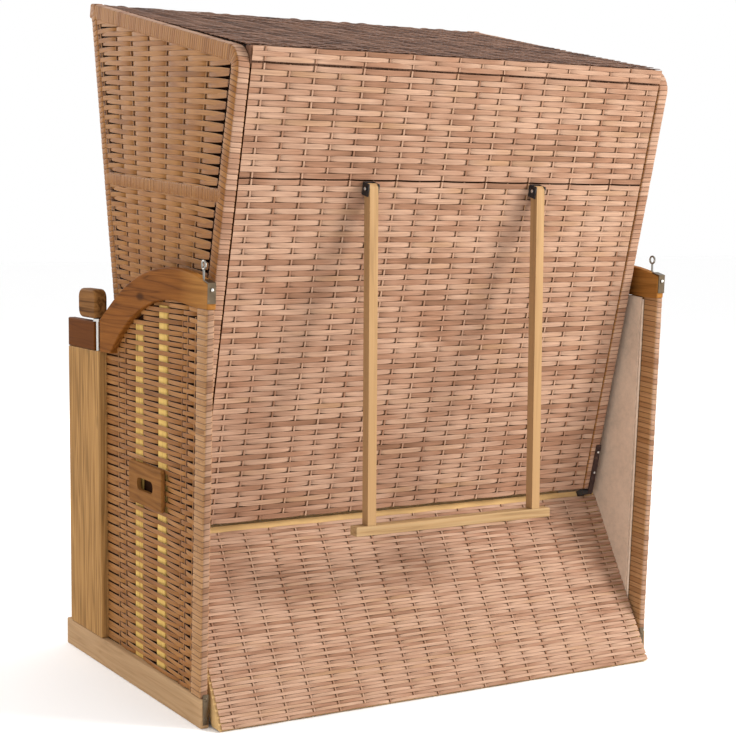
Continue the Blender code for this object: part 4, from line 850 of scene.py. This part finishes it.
POST_OUT = Vector((0, math.cos(POST_LEAN), -math.sin(POST_LEAN)))
RECESS_SLOPE = 0.0242  # how much nearer the wall's outer face the side weave comes per metre towards the rear
WALL_STAKES = [(share, 0.0, 0.0044) for share in (0.143, 0.226, 0.848, 0.898, 0.974)]  # two before the slats
SLAT_SHARES = (0.378, 0.634)
SLAT_WIDTH = 0.046
LINING_GAP = 0.0006
SLOT_LENGTH, SLOT_HEIGHT = 0.104, 0.036  # left free behind the carry plate's slot
slat_places, wall_patches, wall_tops, wall_inner = {}, {}, {}, {}
for side, s in SIDES:
    node_name = f"{side}_side_weave"
    out = unit((s, -RECESS_SLOPE, 0))
    outline = plane_of(node_name, out)
    wall = Face((0, 0, 1), outline[:, 2].max() + HIDDEN)
    ledge = Face((0, 0, 1), outline[:, 2].min())
    rear_face = face_of(node_name, POST_OUT)
    front_face = face_of(node_name, (0, -1, 0))
    corners = [front_face.meet(ledge), rear_face.meet(ledge), rear_face.meet(wall), front_face.meet(wall)]
    flat = (outline @ np.array(out)).mean()
    for corner in corners:
        corner.x = (flat - corner.y * out.y) / out.x
    patch = Patch(corners, out)
    order = np.argsort(outline[:, 1])
    top = outline[order][outline[order][:, 2] > outline[:, 2].max() - 0.2]
    plate_low, plate_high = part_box(f"{side}_carry_plate")
    middle = (np.array(plate_low) + np.array(plate_high)) / 2

    def inside(points):
        under = points[:, 2] < np.interp(points[:, 1], top[:, 1], top[:, 2]) + HIDDEN
        along, up = abs(points[:, 1] - middle[1]), abs(points[:, 2] - middle[2])
        return under & ~((along < SLOT_LENGTH / 2) & (up < SLOT_HEIGHT / 2))

    strand = WALL_STRAND["thick"]
    wall_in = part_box(f"{side}_armrest")[0 if s > 0 else 1][0]
    slats = []
    for share in SLAT_SHARES:
        face = patch.at(share, 0.5)[0] - s * strand
        slats.append((share, SLAT_WIDTH / 2 / patch.length, abs(face - wall_in) - LINING_GAP - 2 * strand))
    slat_places[side], wall_patches[side], wall_tops[side] = slats, patch, (top[:, 1], top[:, 2])
    wall_inner[side] = wall_in
    weave(f"{side}_side_strands", "base", patch, WICKER, "wicker", [node_name],
          stakes=[*WALL_STAKES[:2], *slats, *WALL_STAKES[2:]], seed=51, inside=inside, **WALL_STRAND)

# Wrapped bars

EDGE_RADIUS = 0.003
REAR_BAR_DEPTH = 0.036
BASE_POST_DEPTH = 0.052
MID_BAR_PITCH = 0.009
for side, s in SIDES:
    bars = []
    x = s * (HOOD_HALF - REAR_POST_WIDTH / 2)
    start, end = BACK.meet(FOOT, x), ROOF.meet(FRONT, x)
    route = bent(start, BACK, ROOF, end, CORNER_RADIUS)
    route.points[:, 0] = x
    wrap(bars, route, (-s, 0, 0), REAR_POST_WIDTH, REAR_BAR_DEPTH, 61, relief=0.0011, grouping=0.12)
    x = s * (HOOD_HALF - SIDE_BAR_WIDTH / 2)
    rear, front = BACK.inside(0.02), FRONT.inside(0.01)
    wrap(bars, FRONT.line(FOOT, ROOF.inside(0.01), x), (s, 0, 0), SIDE_BAR_WIDTH, FRONT_POST_DEPTH, 62)
    wrap(bars, MID_TOP.line(rear, front, x), (s, 0, 0), SIDE_BAR_WIDTH, SIDE_BAR_HEIGHT, 63, MID_BAR_PITCH)
    low = Face(-DOWN, -FOOT.height + SIDE_BAR_HEIGHT)
    wrap(bars, low.line(rear, front, x), (s, 0, 0), SIDE_BAR_WIDTH, SIDE_BAR_HEIGHT, 64)
    bars_piece(f"{side}_hood_side_bars", bars, "hood", WOUND_CANE, "wicker", f"{side}_hood_side_frame")

    bars = []
    low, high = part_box(f"{side}_rear_post")
    post = face_of(f"{side}_rear_post", POST_OUT)
    x = (low[0] + high[0]) / 2
    floor, head = Face((0, 0, 1), low[2]), Face((0, 0, 1), high[2])
    wrap(bars, post.line(floor, head, x), (s, 0, 0), high[0] - low[0], BASE_POST_DEPTH, 65)
    bars_piece(f"{side}_rear_post_wrap", bars, "base", POST_CANE, "wicker", f"{side}_rear_post")

    # The lining's cloth goes round its rear edge and meets the post
    inner = (low[0] if s > 0 else high[0]) - s * EDGE_RADIUS
    front = post.inside(BASE_POST_DEPTH - EDGE_RADIUS - SEAM)
    heights = np.linspace(low[2] + 0.004, high[2] - 0.004, 40)
    edge = Tubes(circle(10))
    line = [front.meet(Face((0, 0, 1), z), inner) for z in heights]
    edge.add(line, (1, 0, 0), POST_OUT, EDGE_RADIUS, EDGE_RADIUS, 0.5)
    name = f"{side}_lining_edge"
    piece(name, edge.mesh(name, 180), "base", LINING[side], "lining")

reach = HOOD_HALF - REAR_POST_WIDTH - SEAM
TWISTS = dict(pitch=0.048, corner=0.009, relief=0.0045, grouping=0.15,
              phases=(0.0, 0.14, 0.32, 0.5, 0.68, 0.86, 0.995), heights=(0.0, 0.5, 0.88, 1.0, 0.88, 0.5, 0.03))
ROOF_BARS = (  # top inside the roof's face, face beside it, middle inside that face, width, height, seed, look
    (0.0040, BACK, 0.0098 + 0.0125, 0.0250, ROOF_THICK + 0.006, 71, {}),
    (0.0005, FRONT, 0.0120, 0.0220, ROOF_THICK - 0.002, 72, TWISTS),
    (0.0120, FRONT, 0.0290, 0.0145, ROOF_THICK - 0.014, 73, {}),  # from the front bar to the lining
)
bars = []
for top, beside, middle, width, height, seed, look in ROOF_BARS:
    route = ROOF.inside(top).across(beside.inside(middle), reach)
    wrap(bars, route, UP_ROOF, width, height, seed, **look)
bars_piece("roof_bars", bars, "hood", ROOF_WICKER, "wicker", "roof_frame")

# Finishes of the frame's own pieces


def both(*names):
    return [f"{side}_{name}" for side, _ in SIDES for name in names]


FINISHES = (
    (WOOD, both("front_board")),
    (LEG_WOOD, both("prop_leg")),
    (LEG_ACROSS, ["prop_crossbar"]),
    (CAP_WOOD, both("arm_cap")),
    (GRIP_WOOD, both("latch_grip")),
    (ARM_WOOD, both("armrest")),
    (PLATE_WOOD, both("carry_plate")),
    (WOOD_ACROSS, both("footrest_front")),
    (RAIL_WOOD, both("side_rail")),
    (PANEL_WOOD, ["rear_panel_frame"]),
    (PALE_ACROSS, ["front_floor_board", "seat_frame", "seat_board", *both("footrest_frame")]),
    (STEEL, both("corner_bracket", "notched_arc")),
    (EYE_STEEL, both("eye_screw")),
    (BRIGHT_STEEL, both("latch_rod")),
    (BLACK_IRON, both("hinge_bracket", "prop_bracket")),
    (BROWN_IRON, both("hinge_strap")),
    # The back board and the linings carry painted shade on their faces behind the weaves
    (LINING["back"], ["hood_back_board"]),
    (LINING["roof"], ["roof_lining"]),
    (LINING["left"], ["left_side_lining", "left_hood_lining"]),
    (LINING["right"], ["right_side_lining", "right_hood_lining"]),
)
for material, names in FINISHES:
    for name in names:
        NODES[name].data.materials.clear()
        NODES[name].data.materials.append(material)

# Wall slats, foot straps and screws


def bevel(work, edges, offset, segments):
    made = bmesh.ops.bevel(work, geom=edges, offset=offset, segments=segments, affect="EDGES", profile=0.5)
    return made["verts"]


def bevelled_box(work, low, high, offset, segments=2):
    """Adds a box with round edges to a bmesh, and gives its vertices."""
    size = Vector(high) - Vector(low)
    place = Matrix.Translation((Vector(low) + Vector(high)) / 2) @ Matrix.Diagonal((*size, 1))
    made = bmesh.ops.create_cube(work, size=1, matrix=place)["verts"]
    edges = dict.fromkeys(edge for vert in made for edge in vert.link_edges)  # each once, always in one order
    return bevel(work, list(edges), offset, segments)


def to_mesh(work, name, sharp=40):
    mesh = bpy.data.meshes.new(name)
    bmesh.ops.recalc_face_normals(work, faces=work.faces)
    work.to_mesh(mesh)
    work.free()
    mesh.shade_smooth()
    mesh.set_sharp_from_angle(angle=math.radians(sharp))
    return mesh


def screw_head(work, middle, out, radius=0.0038, height=0.0014, sides=16):
    """A low round head with a cross recess."""
    out = unit(out)
    turn = Vector((0, 0, 1)).rotation_difference(out)
    rings = []
    for share, rise in ((1.0, -0.2), (1.0, 0.35), (0.82, 0.8), (0.5, 1.0), (0.22, 1.0)):
        ring = []
        for number in range(sides):
            angle = math.tau * number / sides
            x, y = radius * share * math.cos(angle), radius * share * math.sin(angle)
            cross = share < 0.6 and min(abs(x), abs(y)) < radius * 0.12
            z = height * rise - (height * 0.7 if cross else 0)
            ring.append(work.verts.new(Vector(middle) + turn @ Vector((x, y, z))))
        rings.append(ring)
    for lower, upper in zip(rings, rings[1:]):
        for number in range(sides):
            after = (number + 1) % sides
            work.faces.new((lower[number], lower[after], upper[after], upper[number]))
    work.faces.new(rings[-1])
    work.faces.new(rings[0][::-1])


RAIL_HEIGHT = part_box("left_side_rail")[1][2]
SLAT_DROP = 0.010  # from the top of the wall's weave to a slat's head
STRAP_NEAR, STRAP_FAR = 0.005, 0.018  # sides of a foot strap, inwards from the rail's outer face
STRAP_FOOT, STRAP_HEAD = 0.008, 0.074
STRAP_THICK = 0.0018
FOOT_SCREW_HEIGHTS = (0.022, 0.062)
for side, s in SIDES:
    work = bmesh.new()
    patch = wall_patches[side]
    inner = s * (abs(wall_inner[side]) + LINING_GAP)
    for share, _, thickness in slat_places[side]:
        foot, head = patch.at(share, 0.0), patch.at(share, 0.985)
        top = min(head[2], float(np.interp(head[1], *wall_tops[side])) - SLAT_DROP)
        near, far = sorted((inner, inner + s * thickness))
        verts = bevelled_box(work, (near, foot[1] - SLAT_WIDTH / 2, RAIL_HEIGHT + SEAM),
                             (far, foot[1] + SLAT_WIDTH / 2, top), 0.0025)
        run = Vector(head - foot)
        for vert in verts:
            vert.co.y += (vert.co.z - foot[2]) * (run.y / run.z)
    name = f"{side}_wall_slats"
    piece(name, to_mesh(work, name), "base", SLAT_WOOD, "pale_wood")

    rail_low, rail_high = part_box(f"{side}_side_rail")
    outer, rear = (rail_high[0] if s > 0 else rail_low[0]), rail_high[1]
    work = bmesh.new()
    near, far = sorted((outer - s * STRAP_FAR, outer - s * STRAP_NEAR))
    bevelled_box(work, (near, rear + SEAM, STRAP_FOOT), (far, rear + STRAP_THICK, STRAP_HEAD), 0.0006)
    for z in FOOT_SCREW_HEIGHTS:
        screw_head(work, ((near + far) / 2, rear + STRAP_THICK, z), (0, 1, 0), 0.0042, 0.0016)
    name = f"{side}_foot_strap"
    piece(name, to_mesh(work, name), "base", STEEL, "steel")

PROP_PIVOT = (0.40004, 1.13880)
STRAP_SCREW_HEIGHTS = (0.4805, 0.5355)  # along the hood's back, from its plane through the origin
STRAP_MIDDLE = 0.548


def screws(name, body, places, out, radius, height):
    """One piece of several screw heads. Out is one way, or one for each place."""
    work = bmesh.new()
    for number, place in enumerate(places):
        screw_head(work, place, out[number] if isinstance(out, list) else out, radius, height)
    piece(name, to_mesh(work, name), body, BRIGHT_STEEL, "steel")


for side, s in SIDES:
    low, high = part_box(f"{side}_corner_bracket")
    place = ((low[0] + high[0]) / 2, high[1] + SEAM, high[2] - (high[2] - low[2]) * 0.42)
    screws(f"{side}_corner_screw", "base", [place], (0, 1, 0), 0.0034, 0.0012)
    low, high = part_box(f"{side}_prop_bracket")
    places = [(high[0] + SEAM, *PROP_PIVOT), (low[0] - SEAM, *PROP_PIVOT)]
    screws(f"{side}_bracket_screws", "hood", places, [(1, 0, 0), (-1, 0, 0)], 0.0042, 0.0014)
    face = face_of(f"{side}_hinge_strap", OUT_BACK).height + SEAM
    middle = Vector((s * STRAP_MIDDLE, 0, 0))
    places = [middle + UP_BACK * height + OUT_BACK * face for height in STRAP_SCREW_HEIGHTS]
    screws(f"{side}_strap_screws", "hood", places, OUT_BACK, 0.0030, 0.0010)

# Cushions

SLACK = 0.010  # how much smaller a pad starts than it ends
VOXEL = 0.0065
CLOTH_FRAMES = 20
PIPING_RADIUS = 0.0035
CHANNEL_DEPTH = 0.012
CHANNEL_WIDTH = 0.016


def swollen(made, cap):
    """Points and faces of a pad after its cloth is blown up, with each point's way capped, by simulation."""
    remesh = made.modifiers.new("remesh", "REMESH")
    remesh.mode, remesh.voxel_size, remesh.use_smooth_shade = "VOXEL", VOXEL, True
    applied(made)
    start = np.array([vert.co for vert in made.data.vertices], float)
    cloth = made.modifiers.new("cloth", "CLOTH")
    cloth.settings.quality = 4
    cloth.settings.mass = 0.3
    cloth.settings.tension_stiffness = cloth.settings.compression_stiffness = 15
    cloth.settings.bending_stiffness = 0.5
    cloth.settings.use_pressure = True
    cloth.settings.uniform_pressure_force = 4.0
    cloth.settings.effector_weights.gravity = 0.0
    cloth.point_cache.frame_start, cloth.point_cache.frame_end = 1, CLOTH_FRAMES
    scene = bpy.context.scene
    for frame_number in range(1, CLOTH_FRAMES + 1):
        scene.frame_set(frame_number)
    applied(made)
    scene.frame_set(1)
    moved = np.array([vert.co for vert in made.data.vertices], float) - start
    way = np.linalg.norm(moved, axis=1, keepdims=True)
    return start + moved * np.minimum(1, cap / np.maximum(way, 1e-9))


def applied(made):
    """Replaces a piece's mesh by the mesh that its modifiers give."""
    bpy.context.view_layer.update()
    shaped = bpy.data.meshes.new_from_object(made.evaluated_get(bpy.context.evaluated_depsgraph_get()))
    made.modifiers.clear()
    made.data = shaped


def cushion(name, body, node_name, up, out, cap, rows=(), columns=(), corner=0.040):
    """A pad in the place of a CAD node: blown up, flat below, with its sewn channels and its piping."""
    up, out = np.array(unit(up)), np.array(unit(out))
    along = np.cross(up, out)
    axes = np.stack((along, up, out))
    local = points_of(node_name) @ axes.T
    middle = (local.max(axis=0) + local.min(axis=0)) / 2
    half = np.ptp(local, axis=0) / 2
    work = bmesh.new()
    start = half - SLACK
    bmesh.ops.create_cube(work, size=2, matrix=Matrix.Diagonal((*start, 1)))
    upright = [edge for edge in work.edges if abs(edge.verts[0].co.z - edge.verts[1].co.z) > 1e-6]
    bevel(work, upright, corner, 6)
    bevel(work, list(work.edges), min(0.012, start[2] * 0.5), 2)
    made = bpy.data.objects.new(name, to_mesh(work, name, 180))
    bpy.context.scene.collection.objects.link(made)
    points = swollen(made, cap)
    limit = half - PIPING_RADIUS * 0.6
    points = points / abs(points).max(axis=0) * limit
    top = np.clip(points[:, 2] / limit[2], 0, 1)
    for axis, places in ((1, rows), (0, columns)):
        for place in places:
            distance = abs(points[:, axis] - place * 2 * half[axis])
            points[:, 2] -= CHANNEL_DEPTH * top * np.exp(-((distance / CHANNEL_WIDTH) ** 1.3))
    level, z = -limit[2] * 0.9, points[:, 2]
    z = np.where(z < level, level + (z - level) * 0.15, z)
    points[:, 2] = (z - z.min()) / (z.max() - z.min()) * (2 * half[2] - 2 * SEAM) - half[2] + SEAM
    made.data.vertices.foreach_set("co", ((points + middle) @ axes).ravel())
    subdivide = made.modifiers.new("subdivide", "SUBSURF")
    subdivide.levels = subdivide.render_levels = 1
    applied(made)
    made.data.shade_smooth()
    made.data.materials.clear()
    made.data.materials.append(CUSHION_CLOTH)
    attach(made, body)
    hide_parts(node_name)
    piping(f"{name}_piping", made, body, axes, middle, half, corner)


def piping(name, pad, body, axes, middle, half, corner):
    """A cord of cloth round a pad's side seam, laid on the pad's surface."""
    faces = [face.vertices for face in pad.data.polygons]
    tree = BVHTree.FromPolygons([vert.co for vert in pad.data.vertices], faces)
    places, outs = [], []
    for centre_x, centre_y, first in ((1, 1, 0), (-1, 1, 1), (-1, -1, 2), (1, -1, 3)):
        for step in range(9):
            angle = (first + step / 8) * math.pi / 2
            out = np.array((math.cos(angle), math.sin(angle), 0))
            centre = np.array((centre_x * (half[0] - corner), centre_y * (half[1] - corner), 0))
            places.append(centre + out * corner)
            outs.append(out)
    route = Route([*places, places[0]], [*outs, outs[0]])
    line, ways = route.at(np.linspace(0, route.length, 400))
    laid = []
    for place, way in zip(line, ways):
        start = (place + way * 0.05 + middle) @ axes
        hit = tree.ray_cast(Vector(start), Vector(-way @ axes))[0]
        laid.append(np.array(hit) if hit else (place + middle) @ axes)
    laid = np.array(laid)
    around = np.concatenate((laid[-3:-1], laid[:-1], laid[:3]))
    laid = sum(around[k:k + len(laid)] for k in range(5)) / 5
    cord = Tubes(circle(8))
    cord.add(laid, axes[2], ways @ axes, PIPING_RADIUS, PIPING_RADIUS, 0.5)
    piece(name, cord.mesh(name, 180), body, PIPING_CLOTH, "cushion")


FORWARD, UPWARD = Vector((0, -1, 0)), Vector((0, 0, 1))
cushion("seat_cushion_pad", "base", "seat_cushion", FORWARD, UPWARD, 0.024, columns=(0.0,))
cushion("back_cushion_pad", "hood", "back_cushion", UP_BACK, -OUT_BACK, 0.022, rows=(-0.3, -0.1, 0.1, 0.3))
for side, s in SIDES:
    cushion(f"{side}_footrest_cushion", f"{side}_footrest", f"{side}_footrest_pad", FORWARD, UPWARD, 0.010)
